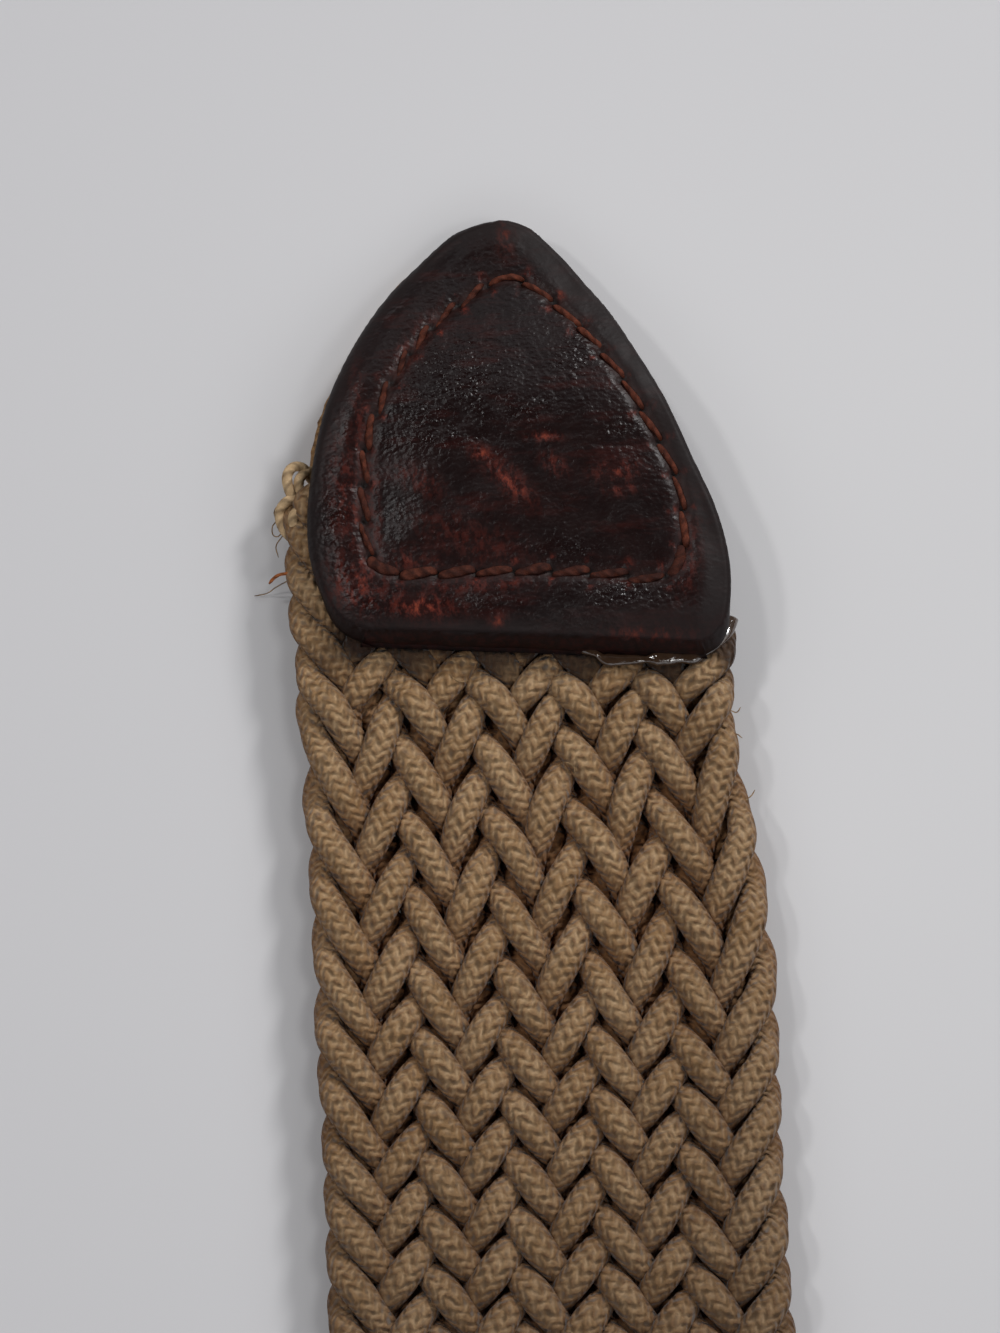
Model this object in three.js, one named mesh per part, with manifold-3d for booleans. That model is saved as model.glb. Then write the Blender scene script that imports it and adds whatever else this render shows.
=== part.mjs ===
// A flat braided belt, lying face up on a surface: a herringbone braid of round cords, a stitched
// leather tip on its free end, and a plain tongue buckle held by a folded leather tab on the other.
// Millimetres. The belt lies along Y with its tip towards +Y, and rests on z = 0.

import * as THREE from "three";
import { mergeVertices } from "three/addons/utils/BufferGeometryUtils.js";
import Module from "manifold-3d";

// The whole belt
const BELT_LENGTH = 1020; // from the point of the tip to the far bar of the buckle
const SEAM_GAP = 0.3; // between two pieces that touch

// The braided strap
const STRAP_WIDTH = 33.6;
const CORD_HEIGHT = 2.2; // one cord as it lies flattened; the braid is two cords thick
const PRESSED_THICKNESS = 2.6; // where the strap is sewn between two layers of leather
const PRESS_RUN = 8; // how far past the leather the strap takes to regain its thickness
const EDGE_ROUNDING = 1.5; // how far in from its edge the braid starts to round down
const EDGE_SHOULDER = 0.3; // the rounding's height, as a share of the strap's thickness
const SCALLOP_DEPTH = 0.35; // how far each cord bulges as it turns back at the edge
const ROW_PITCH = 4.15; // from one row of the herringbone to the next
const ROW_PITCH_AT_TIP = 6; // where the sewing has drawn the braid out
const DRAWN_START = 8; // past the tip's base, where the pitch begins to close up
const DRAWN_END = 44; // past the tip's base, where the pitch has closed up

// The leather tip
const TIP_LENGTH = 33.9; // along its middle
const TIP_WIDTH = 31.4;
const BASE_SKEW = 1.5; // how much further than its middle the tip reaches at its right side
const FRONT_LEATHER = 1.7;
const BACK_LEATHER = 1.5;
const BACK_OVERHANG = 0.35; // how far the back's raw edge shows past the front
const BEVEL_WIDTH = 1.3; // the worn round-over along the front's edge
const BEVEL_DROP = 0.75;
const CROWN = 0.25; // how much the front swells in its middle
const SKIRT_WIDTH = 0.7; // the front's edge where it is turned down to the back

// The buckle and its tab
const BAR_RADIUS = 1.6;
const BUCKLE_LENGTH = 30; // between the centres of its two bars
const BUCKLE_SIDE_ROOM = 0.4; // straight bar past each side of the tab, before the corner
const BUCKLE_CORNER = 4; // corner radius of the frame's centre line
const TONGUE_RADIUS = 1.3;
const TONGUE_OVERRUN = 1; // past the middle of the far bar
const TONGUE_BITE = 0.25; // how deep it sits into the far bar, as one solid with it
const KNUCKLE_RADIUS = 2.3; // where the tongue grips the bar
const KNUCKLE_WIDTH = 4;
const TAB_LEATHER = 1.6;
const TAB_LENGTH = 38; // from the bar to the tab's sewn end
const TAB_SLOPE = 6; // where the tab comes down from the bar to the strap
const TAB_CORNER = 7;
const SLOT_SIDE_ROOM = 1.5; // on each side of the tongue's knuckle
const SLOT_DEPTH = 8; // from the bar into the tab

// The tip's two sides: down in shares of its length from its point, left and right in shares of
// half TIP_WIDTH.
const TIP_SIDES = [
  { down: 0, left: 0.055, right: 0.02 },
  { down: 0.01, left: 0.12, right: 0.06 },
  { down: 0.03, left: 0.225, right: 0.145 },
  { down: 0.09, left: 0.395, right: 0.28 },
  { down: 0.16, left: 0.545, right: 0.393 },
  { down: 0.24, left: 0.665, right: 0.512 },
  { down: 0.34, left: 0.78, right: 0.624 },
  { down: 0.46, left: 0.885, right: 0.75 },
  { down: 0.58, left: 0.95, right: 0.85 },
  { down: 0.7, left: 0.99, right: 0.95 },
  { down: 0.8, left: 0.995, right: 0.995 },
  { down: 0.88, left: 0.965, right: 0.995 },
  { down: 0.94, left: 0.91, right: 0.965 },
  { down: 0.98, left: 0.835, right: 0.905 },
  { down: 1, left: 0.74, right: 0.835 },
];

// The strap's two sides near the tip: down in shares of TIP_LENGTH from the tip's point, left and
// right in shares of half STRAP_WIDTH. The last row holds for the rest of the strap.
const STRAP_SIDES = [
  { down: 0.5, left: 1.0, right: 0.95 },
  { down: 0.67, left: 1.06, right: 0.95 },
  { down: 0.97, left: 1.04, right: 0.955 },
  { down: 1.12, left: 1.035, right: 0.94 },
  { down: 1.21, left: 1.01, right: 0.93 },
  { down: 1.33, left: 1.01, right: 0.955 },
  { down: 1.45, left: 1.01, right: 1.0 },
  { down: 1.71, left: 1.01, right: 1.03 },
  { down: 2.0, left: 1.0, right: 1.015 },
  { down: 2.2, left: 1.0, right: 1.0 },
];

// Where things happen along the tip, in shares of TIP_LENGTH from its point
const STRAP_CUT = 0.2; // the strap's cut end, under the leather
const WEDGE = [0.02, 0.5]; // the strap inside the leather thins down towards the point
const LEFT_SKIRT = [0.36, 0.42]; // the turned-down edge fades out over this stretch
const RIGHT_SKIRT = [0.76, 0.82];
const LEFT_TUCK = [0.47, 0.53]; // the strap's side comes out from inside the leather
const RIGHT_TUCK = [0.9, 1.0];
const TUCK_SHARE = 0.85; // the strap's half width inside the leather, as a share of the leather's
const TIP_SECTIONS = 26;

// The points of the front's sections, from its middle out to its side: each lies an inset from the
// side, or a share of the section's width where that is less.
const UPPER_POINTS = [
  { inset: TIP_WIDTH, share: 0.33 },
  { inset: BEVEL_WIDTH, share: 0.2 },
  { inset: BEVEL_WIDTH * 0.4, share: 0.1 },
  { inset: 0, share: 0 },
];
const LOWER_POINTS = [
  { inset: TIP_WIDTH, share: 0.3, onRim: false },
  { inset: SKIRT_WIDTH * 1.5, share: 0.2, onRim: false },
  { inset: SKIRT_WIDTH, share: 0.15, onRim: true },
  { inset: 0, share: 0, onRim: true },
];

// Heights and places worked out from the sizes above
const strapThickness = 2 * CORD_HEIGHT;
const tipPoint = BELT_LENGTH / 2 - BACK_OVERHANG;
const tipBase = tipPoint - TIP_LENGTH;
const farBar = -BELT_LENGTH / 2 + BAR_RADIUS;
const tabBar = farBar + BUCKLE_LENGTH;
const tabEnd = tabBar + TAB_LENGTH;
const strapEndAtBuckle = tabBar + SLOT_DEPTH + SEAM_GAP;
const liftOnBack = BACK_LEATHER + SEAM_GAP;
const liftOnTab = TAB_LEATHER + SEAM_GAP;
const foldInner = BAR_RADIUS + SEAM_GAP;
const foldOuter = foldInner + TAB_LEATHER;

const { lerp, smoothstep, clamp } = THREE.MathUtils;

// A column of a table at a place between its rows.
function columnAt(table, column, down) {
  if (down <= table[0].down) return table[0][column];
  for (let i = 1; i < table.length; i++) {
    const [a, b] = [table[i - 1], table[i]];
    if (down <= b.down) {
      return lerp(a[column], b[column], (down - a.down) / (b.down - a.down));
    }
  }
  return table.at(-1)[column];
}

// Joins rings of points, each with as many points, into one closed skin. The two end rings are
// capped from their middles, or joined to each other where the skin is a loop.
function skin(rings, { loop = false } = {}) {
  const count = rings[0].length;
  const points = rings.flat();
  const faces = [];
  const last = loop ? rings.length : rings.length - 1;
  for (let r = 0; r < last; r++) {
    const near = r * count;
    const far = ((r + 1) % rings.length) * count;
    for (let i = 0; i < count; i++) {
      const j = (i + 1) % count;
      faces.push(near + i, near + j, far + j, near + i, far + j, far + i);
    }
  }
  if (!loop) {
    capRing(points, faces, 0, count, true);
    capRing(points, faces, (rings.length - 1) * count, count, false);
  }
  return outward(points, faces);
}

function capRing(points, faces, start, count, reversed) {
  const ring = points.slice(start, start + count);
  const middle = ring.reduce((sum, p) => sum.add(p), new THREE.Vector3()).divideScalar(count);
  const centre = points.push(middle) - 1;
  for (let i = 0; i < count; i++) {
    const [a, b] = [start + i, start + ((i + 1) % count)];
    faces.push(...(reversed ? [centre, b, a] : [centre, a, b]));
  }
}

// A geometry with these faces, all turned to point out.
function outward(points, faces) {
  let volume = 0;
  for (let i = 0; i < faces.length; i += 3) {
    const [a, b, c] = [points[faces[i]], points[faces[i + 1]], points[faces[i + 2]]];
    volume += a.dot(new THREE.Vector3().crossVectors(b, c));
  }
  if (volume < 0) {
    for (let i = 0; i < faces.length; i += 3) {
      [faces[i + 1], faces[i + 2]] = [faces[i + 2], faces[i + 1]];
    }
  }
  const geometry = new THREE.BufferGeometry().setFromPoints(points);
  geometry.setIndex(faces);
  return geometry;
}

// Booleans
const wasm = await Module();
wasm.setup();

function solidFrom(geometry) {
  const bare = geometry.clone();
  bare.deleteAttribute("normal");
  bare.deleteAttribute("uv");
  const merged = mergeVertices(bare, 1e-4);
  return new wasm.Manifold(
    new wasm.Mesh({
      numProp: 3,
      vertProperties: new Float32Array(merged.attributes.position.array),
      triVerts: new Uint32Array(merged.index.array),
    }),
  );
}

function geometryFrom(solid) {
  const mesh = solid.getMesh();
  const geometry = new THREE.BufferGeometry();
  geometry.setAttribute("position", new THREE.BufferAttribute(mesh.vertProperties, 3));
  geometry.setIndex(new THREE.BufferAttribute(mesh.triVerts, 1));
  return geometry;
}

// The tip's left and right sides as smooth curves from its point to its base, grown by an amount.
function tipSides(grow = 0) {
  const half = TIP_WIDTH / 2;
  const side = (column, sign) =>
    new THREE.SplineCurve(
      TIP_SIDES.map((row) => {
        const x = sign * row[column] * half;
        const y = tipPoint - row.down * (TIP_LENGTH + (BASE_SKEW * x) / half);
        return new THREE.Vector2(x + sign * grow, y + grow * (1 - row.down));
      }),
    );
  return [side("left", -1), side("right", 1)];
}

// One layer of the tip: its sections run from side to side. A place on the layer is given by how
// far in from its side it lies, how far from the base, and its share of the way down and across.
function tipLayer(grow, sectionPoints) {
  const [left, right] = tipSides(grow);
  const rings = [];
  for (let i = 0; i <= TIP_SECTIONS; i++) {
    const share = i / TIP_SECTIONS;
    const [from, to] = [left.getPoint(share), right.getPoint(share)];
    const width = to.x - from.x;
    rings.push(
      sectionPoints(width).map(({ inset, mirrored, heightAt }) => {
        const across = mirrored ? 1 - inset / width : inset / width;
        const flat = from.clone().lerp(to, across);
        const down = (tipPoint - flat.y) / TIP_LENGTH;
        const fromBase = TIP_LENGTH + (BASE_SKEW * flat.x) / (TIP_WIDTH / 2) - (tipPoint - flat.y);
        const place = { inset, fromBase, down, across, onLeft: !mirrored };
        return new THREE.Vector3(flat.x, flat.y, heightAt(place));
      }),
    );
  }
  return skin(rings);
}

// How thick the strap's end is inside the leather.
function fill(down) {
  return PRESSED_THICKNESS * smoothstep(down, ...WEDGE);
}

function tipFront() {
  const under = ({ down }) => liftOnBack + fill(down) + SEAM_GAP * smoothstep(down, ...WEDGE);
  const rim = (place) => {
    const raised = smoothstep(place.down, ...(place.onLeft ? LEFT_SKIRT : RIGHT_SKIRT));
    return lerp(liftOnBack, under(place), raised);
  };
  const bevel = (distance) => clamp(1 - distance / BEVEL_WIDTH, 0, 1) ** 2;
  const top = (place) => {
    const drop = Math.min(1, bevel(place.inset) + bevel(place.fromBase));
    const crown = 1 - (2 * place.across - 1) ** 2;
    return under(place) + FRONT_LEATHER + CROWN * crown - BEVEL_DROP * drop;
  };
  return tipLayer(0, (width) => {
    const place = ({ inset, share }, heightAt) => ({
      inset: Math.min(inset, width * share),
      heightAt,
    });
    const upper = UPPER_POINTS.map((point) => place(point, top));
    const lower = LOWER_POINTS.map((point) => place(point, point.onRim ? rim : under));
    const crest = { inset: width / 2, heightAt: top };
    const belly = { inset: width / 2, heightAt: under };
    const mirrored = (points) => points.map((point) => ({ ...point, mirrored: true }));
    return [
      ...upper.toReversed(),
      crest,
      ...mirrored(upper),
      ...mirrored(lower).toReversed(),
      belly,
      ...lower,
    ];
  });
}

function tipBack() {
  return tipLayer(BACK_OVERHANG, () => {
    const at = (height) => ({ inset: 0, heightAt: () => height });
    const [low, high] = [at(0), at(BACK_LEATHER)];
    return [low, high, { ...high, mirrored: true }, { ...low, mirrored: true }];
  });
}

// The strap's sections from the cut end in the tip to the one in the tab: two to each row of the
// braid, or four as far as the tip reaches. Turn counts the rows.
function strapPlaces() {
  const places = [];
  let y = tipPoint - STRAP_CUT * TIP_LENGTH;
  let turn = 0;
  while (y > strapEndAtBuckle) {
    places.push({ y, turn });
    const settled = smoothstep(tipBase - y, DRAWN_START, DRAWN_END);
    const midRow = turn % (1 / 2) !== 0;
    const step = y > tipBase || midRow ? 1 / 4 : 1 / 2;
    y -= lerp(ROW_PITCH_AT_TIP, ROW_PITCH, settled) * step;
    turn += step;
  }
  places.push({ y: strapEndAtBuckle, turn });
  return places;
}

// How far one side of the strap lies from the middle.
function strapSide(column, down, tuck) {
  const free = columnAt(STRAP_SIDES, column, down) * (STRAP_WIDTH / 2);
  const leather = columnAt(TIP_SIDES, column, down) * (TIP_WIDTH / 2);
  const tucked = Math.min(free, TUCK_SHARE * leather);
  return lerp(tucked, free, smoothstep(down, ...tuck));
}

function strapSection({ y, turn }) {
  const down = (tipPoint - y) / TIP_LENGTH;
  const turned = (1 + Math.cos(2 * Math.PI * turn)) / 2;
  const left = SCALLOP_DEPTH * (1 - turned) - strapSide("left", down, LEFT_TUCK);
  const right = strapSide("right", down, RIGHT_TUCK) - SCALLOP_DEPTH * turned;
  const inTip = 1 - smoothstep(tipBase - BASE_SKEW - y, 0, PRESS_RUN);
  const inTab = 1 - smoothstep(y - tabEnd, 0, PRESS_RUN);
  const pressed = Math.max(inTip, inTab);
  const lift = inTip > inTab ? liftOnBack : liftOnTab;
  const pressedTop = lift + (inTip > inTab ? fill(down) : PRESSED_THICKNESS);
  const bottom = pressed * lift;
  const top = lerp(strapThickness, pressedTop, pressed);
  const shoulder = (top - bottom) * EDGE_SHOULDER;
  return [
    [left + EDGE_ROUNDING, bottom],
    [right - EDGE_ROUNDING, bottom],
    [right, bottom + shoulder],
    [right, top - shoulder],
    [right - EDGE_ROUNDING, top],
    [left + EDGE_ROUNDING, top],
    [left, top - shoulder],
    [left, bottom + shoulder],
  ].map(([x, z]) => new THREE.Vector3(x, y, z));
}

function braidedStrap() {
  return skin(strapPlaces().map(strapSection));
}

// The tab: one strip of leather folded round the bar, over and under the strap's end, with a slot
// for the tongue and rounded corners at its sewn end.
function buckleTab() {
  const upperInner = liftOnTab + PRESSED_THICKNESS + SEAM_GAP;
  const upperOuter = upperInner + TAB_LEATHER;
  const side = new THREE.Shape();
  side.moveTo(TAB_LENGTH, 0);
  side.lineTo(TAB_LENGTH, TAB_LEATHER);
  side.lineTo(0, TAB_LEATHER);
  side.absarc(0, foldOuter, foldInner, -Math.PI / 2, Math.PI / 2, true);
  side.lineTo(TAB_SLOPE, upperInner);
  side.lineTo(TAB_LENGTH, upperInner);
  side.lineTo(TAB_LENGTH, upperOuter);
  side.lineTo(TAB_SLOPE, upperOuter);
  side.lineTo(0, 2 * foldOuter);
  side.absarc(0, foldOuter, foldOuter, Math.PI / 2, (3 * Math.PI) / 2, false);
  const folded = new THREE.ExtrudeGeometry(side, {
    depth: STRAP_WIDTH,
    bevelEnabled: false,
    curveSegments: 10,
  });
  // The side view is drawn along the strap and up, and pulled out across the strap.
  folded.applyMatrix4(
    new THREE.Matrix4().makeBasis(
      new THREE.Vector3(0, 1, 0),
      new THREE.Vector3(0, 0, 1),
      new THREE.Vector3(1, 0, 0),
    ),
  );
  folded.translate(-STRAP_WIDTH / 2, tabBar, 0);

  const half = STRAP_WIDTH / 2;
  const above = 2 * foldOuter + SEAM_GAP;
  const foldSide = tabBar - foldOuter - SEAM_GAP;
  const plan = new THREE.Shape();
  plan.moveTo(-half, foldSide);
  plan.lineTo(half, foldSide);
  plan.lineTo(half, tabEnd - TAB_CORNER);
  plan.absarc(half - TAB_CORNER, tabEnd - TAB_CORNER, TAB_CORNER, 0, Math.PI / 2, false);
  plan.absarc(TAB_CORNER - half, tabEnd - TAB_CORNER, TAB_CORNER, Math.PI / 2, Math.PI, false);
  const cutter = new THREE.ExtrudeGeometry(plan, {
    depth: above + SEAM_GAP,
    bevelEnabled: false,
    curveSegments: 6,
  });
  cutter.translate(0, 0, -SEAM_GAP);

  const slotWidth = KNUCKLE_WIDTH + 2 * SLOT_SIDE_ROOM;
  const slotLength = SLOT_DEPTH + foldOuter + SEAM_GAP;
  const slot = new THREE.BoxGeometry(slotWidth, slotLength, 2 * above);
  slot.translate(0, tabBar + SLOT_DEPTH - slotLength / 2, above / 2);

  return geometryFrom(solidFrom(folded).intersect(solidFrom(cutter)).subtract(solidFrom(slot)));
}

// A round rod along points that lie in a plane square to across.
function rod(points, radius, across, { loop = false, sides = 10 } = {}) {
  const count = points.length;
  const rings = points.map((point, i) => {
    const before = points[loop ? (i + count - 1) % count : Math.max(i - 1, 0)];
    const after = points[loop ? (i + 1) % count : Math.min(i + 1, count - 1)];
    const along = after.clone().sub(before).normalize();
    const side = new THREE.Vector3().crossVectors(along, across).normalize();
    const up = new THREE.Vector3().crossVectors(side, along).normalize();
    const ring = [];
    for (let k = 0; k < sides; k++) {
      const angle = (2 * Math.PI * k) / sides;
      const out = side.clone().multiplyScalar(Math.cos(angle)).addScaledVector(up, Math.sin(angle));
      ring.push(point.clone().addScaledVector(out, radius));
    }
    return ring;
  });
  return skin(rings, { loop });
}

// The frame's centre line: a rounded rectangle that slopes from the bar in the fold to the far
// bar, which rests on the surface.
function frameLine() {
  const half = STRAP_WIDTH / 2 + BUCKLE_SIDE_ROOM + BUCKLE_CORNER;
  const line = new THREE.Path();
  const corners = [
    [half - BUCKLE_CORNER, BUCKLE_CORNER - BUCKLE_LENGTH, -Math.PI / 2, 0],
    [half - BUCKLE_CORNER, -BUCKLE_CORNER, 0, Math.PI / 2],
    [BUCKLE_CORNER - half, -BUCKLE_CORNER, Math.PI / 2, Math.PI],
    [BUCKLE_CORNER - half, BUCKLE_CORNER - BUCKLE_LENGTH, Math.PI, 1.5 * Math.PI],
  ];
  for (const [x, y, from, to] of corners) line.absarc(x, y, BUCKLE_CORNER, from, to, false);
  const points = line.getPoints(6);
  return points.map(
    (point) => new THREE.Vector3(point.x, tabBar + point.y, frameHeight(point.y)),
  );
}

function frameHeight(fromBar) {
  return THREE.MathUtils.mapLinear(fromBar, 0, -BUCKLE_LENGTH, foldOuter, BAR_RADIUS);
}

// The frame with its tongue, closed: the tongue grips the bar and rests on the far bar.
function buckle() {
  const up = new THREE.Vector3(0, 0, 1);
  const across = new THREE.Vector3(1, 0, 0);
  const frame = rod(frameLine(), BAR_RADIUS, up, { loop: true });
  const restHeight = 2 * BAR_RADIUS + TONGUE_RADIUS - TONGUE_BITE;
  const archHeight = foldOuter + KNUCKLE_RADIUS;
  const tongueLine = new THREE.CatmullRomCurve3([
    new THREE.Vector3(0, tabBar, foldOuter),
    new THREE.Vector3(0, tabBar - BUCKLE_LENGTH * 0.2, archHeight),
    new THREE.Vector3(0, tabBar - BUCKLE_LENGTH * 0.6, archHeight),
    new THREE.Vector3(0, farBar - TONGUE_OVERRUN, restHeight),
  ]);
  const tongue = rod(tongueLine.getPoints(10), TONGUE_RADIUS, across);
  const knuckle = new THREE.CylinderGeometry(KNUCKLE_RADIUS, KNUCKLE_RADIUS, KNUCKLE_WIDTH, 16);
  knuckle.rotateZ(Math.PI / 2).translate(0, tabBar, foldOuter);
  return geometryFrom(solidFrom(frame).add(solidFrom(tongue)).add(solidFrom(knuckle)));
}

const braid = new THREE.MeshStandardMaterial({ color: 0x8d7557, roughness: 0.85, metalness: 0 });
const leather = new THREE.MeshStandardMaterial({ color: 0x2b1714, roughness: 0.45, metalness: 0 });
const backing = new THREE.MeshStandardMaterial({ color: 0x7c6245, roughness: 0.8, metalness: 0 });
const steel = new THREE.MeshStandardMaterial({ color: 0xbab5ad, roughness: 0.3, metalness: 1 });

function named(name, geometry, material) {
  const mesh = new THREE.Mesh(geometry, material);
  mesh.name = name;
  return mesh;
}

const belt = new THREE.Group();
belt.add(
  named("braided_strap", braidedStrap(), braid),
  named("tip_front", tipFront(), leather),
  named("tip_back", tipBack(), backing),
  named("buckle_tab", buckleTab(), leather),
  named("buckle", buckle(), steel),
);

export default belt;
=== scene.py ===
"""The looks of the braided belt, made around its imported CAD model. Lengths are in millimetres until
a mesh is made, and places are in the CAD model's frame: the tip towards +Y, the surface at z = 0."""

import math

import bpy
import numpy as np
from mathutils import Matrix, Vector
from mathutils.kdtree import KDTree


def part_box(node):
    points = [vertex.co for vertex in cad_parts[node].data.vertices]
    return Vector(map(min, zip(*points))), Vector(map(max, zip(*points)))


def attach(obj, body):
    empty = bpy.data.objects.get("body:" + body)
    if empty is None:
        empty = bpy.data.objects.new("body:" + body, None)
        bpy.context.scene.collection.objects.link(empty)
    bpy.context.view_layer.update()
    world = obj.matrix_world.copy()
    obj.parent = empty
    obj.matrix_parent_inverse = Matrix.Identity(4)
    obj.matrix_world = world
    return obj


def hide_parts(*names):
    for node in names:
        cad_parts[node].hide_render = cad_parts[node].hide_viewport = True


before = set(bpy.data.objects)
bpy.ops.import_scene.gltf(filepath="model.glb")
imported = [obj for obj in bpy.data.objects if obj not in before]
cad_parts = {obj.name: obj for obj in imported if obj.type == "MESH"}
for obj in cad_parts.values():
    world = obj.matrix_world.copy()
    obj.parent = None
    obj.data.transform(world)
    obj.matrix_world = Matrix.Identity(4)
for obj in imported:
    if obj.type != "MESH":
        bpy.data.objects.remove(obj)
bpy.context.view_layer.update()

MM = 0.001
UP = np.array([0.0, 0.0, 1.0])
LOW, HIGH = 0, 1
X, Y, Z = 0, 1, 2


def box(node):
    """A CAD node's lowest and highest corners, in millimetres."""
    low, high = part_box(node)
    return np.array(low) / MM, np.array(high) / MM


# Sizes read from the CAD model
TIP_POINT = box("tip_front")[HIGH][Y]
BACK_TOP = box("tip_back")[HIGH][Z]
STRAP_END = box("braided_strap")[LOW][Y]
TAB_END = box("buckle_tab")[HIGH][Y]
BUCKLE_HALF = box("buckle")[HIGH][X]

# The same sizes and tables as the CAD model's source, with the tip's point a little rounder
TIP_LENGTH = 33.9
TIP_WIDTH = 31.4
BASE_SKEW = 1.5
STRAP_WIDTH = 33.6
SEAM_GAP = 0.3
FRONT_LEATHER = 1.7
PRESSED_THICKNESS = 2.6
CROWN = 0.25
PRESS_RUN = 8
FLAT_RUN = 3.5
LIFT = BACK_TOP + SEAM_GAP
WEDGE = (0.02, 0.5)
LEFT_SKIRT = (0.46, 0.54)
RIGHT_SKIRT = (0.84, 0.92)
LEFT_TUCK = (0.58, 0.66)
RIGHT_TUCK = (0.9, 1.0)
TUCK_SHARE = 0.85

# The tip's two sides: down its length, left and right in shares of half its width
TIP_SIDES = (
    (0.0, 0.075, 0.045),
    (0.01, 0.155, 0.105),
    (0.03, 0.25, 0.17),
    (0.09, 0.4, 0.285),
    (0.16, 0.545, 0.393),
    (0.24, 0.665, 0.512),
    (0.34, 0.78, 0.624),
    (0.46, 0.885, 0.75),
    (0.58, 0.95, 0.85),
    (0.7, 0.99, 0.95),
    (0.8, 0.995, 0.995),
    (0.88, 0.965, 0.995),
    (0.94, 0.91, 0.965),
    (0.98, 0.835, 0.905),
    (1.0, 0.74, 0.835),
)

# The strap's two sides: down in shares of the tip's length, left and right of half the strap's width
STRAP_SIDES = (
    (0.5, 1.0, 0.95),
    (0.67, 1.06, 0.95),
    (0.97, 1.04, 0.955),
    (1.12, 1.035, 0.94),
    (1.21, 1.01, 0.93),
    (1.33, 1.01, 0.955),
    (1.45, 1.01, 1.0),
    (1.71, 1.01, 1.03),
    (2.0, 1.0, 1.015),
    (2.2, 1.0, 1.0),
)


# Small tools


def smoothstep(value, start, end):
    share = np.clip((value - start) / (end - start), 0, 1)
    return share * share * (3 - 2 * share)


def lerp(a, b, share):
    return a + (b - a) * share


def column(table, place, number):
    """A column of a table, at a place between its rows."""
    rows = np.array(table)
    return np.interp(place, rows[:, 0], rows[:, number])


NOISE_CELLS = 64


def noise(x, y, size, seed):
    """Smooth noise from -1 to 1 over a plane, with features of about a size."""
    lattice = np.random.default_rng(seed).uniform(-1, 1, (NOISE_CELLS, NOISE_CELLS))
    gx, gy = np.asarray(x) / size, np.asarray(y) / size
    ix, iy = np.floor(gx).astype(int), np.floor(gy).astype(int)
    sx, sy = smoothstep(gx - ix, 0, 1), smoothstep(gy - iy, 0, 1)

    def at(i, j):
        return lattice[i % NOISE_CELLS, j % NOISE_CELLS]

    near = lerp(at(ix, iy), at(ix + 1, iy), sx)
    far = lerp(at(ix, iy + 1), at(ix + 1, iy + 1), sx)
    return lerp(near, far, sy)


def spline(points, count):
    """A Catmull-Rom curve through points, sampled evenly between them."""
    points = np.asarray(points, float)
    padded = np.vstack([2 * points[0] - points[1], points, 2 * points[-1] - points[-2]])
    t = np.linspace(0, len(points) - 1, count)
    i = np.minimum(t.astype(int), len(points) - 2)
    f = (t - i)[:, None]
    a, b, c, d = (padded[i + k] for k in range(4))
    curve = 2 * b + (c - a) * f + (2 * a - 5 * b + 4 * c - d) * f**2
    return 0.5 * (curve + (3 * b - a - 3 * c + d) * f**3)


def even_path(points, step):
    """Points a step apart along a line of points."""
    points = np.asarray(points, float)
    run = np.concatenate([[0], np.cumsum(np.linalg.norm(np.diff(points, axis=0), axis=1))])
    count = max(2, int(round(run[-1] / step)) + 1)
    places = np.linspace(0, run[-1], count)
    return np.stack([np.interp(places, run, points[:, k]) for k in range(points.shape[1])], axis=1)


def make_piece(name, verts, faces, material, uvs=None, smooth=True, colours=None):
    """A mesh object that rides on the belt's one body. Colours are named values for each vertex."""
    mesh = bpy.data.meshes.new(name)
    mesh.from_pydata((np.asarray(verts) * MM).tolist(), [], [list(f) for f in faces])
    mesh.validate(clean_customdata=False)
    if uvs is not None:
        layer = mesh.uv_layers.new(name="UVMap")
        layer.data.foreach_set("uv", np.asarray(uvs, np.float32).ravel())
    for label, values in (colours or {}).items():
        attribute = mesh.attributes.new(label, "FLOAT", "POINT")
        attribute.data.foreach_set("value", np.asarray(values, np.float32).ravel())
    mesh.shade_smooth() if smooth else mesh.shade_flat()
    piece = bpy.data.objects.new(name, mesh)
    bpy.context.scene.collection.objects.link(piece)
    mesh.materials.append(material)
    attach(piece, "root")
    return piece


def tube_mesh(path, width, height, sides, closed=False, lean=None):
    """The vertices, faces and UVs of a tube along a path, with an oval section that lies flat."""
    path = np.asarray(path, float)
    count = len(path)
    if closed:
        along = np.roll(path, -1, 0) - np.roll(path, 1, 0)
    else:
        along = np.gradient(path, axis=0)
    along /= np.linalg.norm(along, axis=1)[:, None]
    side = np.cross(along, UP if lean is None else lean)
    side /= np.maximum(np.linalg.norm(side, axis=1), 1e-6)[:, None]
    top = np.cross(side, along)
    width = np.broadcast_to(width, count) / 2
    height = np.broadcast_to(height, count) / 2
    angles = np.arange(sides) * 2 * np.pi / sides
    verts = (
        path[:, None]
        + side[:, None] * (width[:, None] * np.cos(angles))[..., None]
        + top[:, None] * (height[:, None] * np.sin(angles))[..., None]
    ).reshape(-1, 3)
    run = np.concatenate([[0], np.cumsum(np.linalg.norm(np.diff(path, axis=0), axis=1))])
    faces, uvs = [], []
    rings = count if closed else count - 1
    for i in range(rings):
        near, far = i * sides, ((i + 1) % count) * sides
        start, end = run[i], run[i + 1] if i + 1 < count else run[i] + run[1]
        for k in range(sides):
            j = (k + 1) % sides
            faces.append((near + k, near + j, far + j, far + k))
            left, right = k / sides, (k + 1) / sides
            uvs += [(left, start), (right, start), (right, end), (left, end)]
    if not closed:
        faces.append(tuple(range(sides))[::-1])
        uvs += [(0, 0)] * sides
        faces.append(tuple(range((count - 1) * sides, count * sides)))
        uvs += [(0, 0)] * sides
    return verts, faces, uvs


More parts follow.
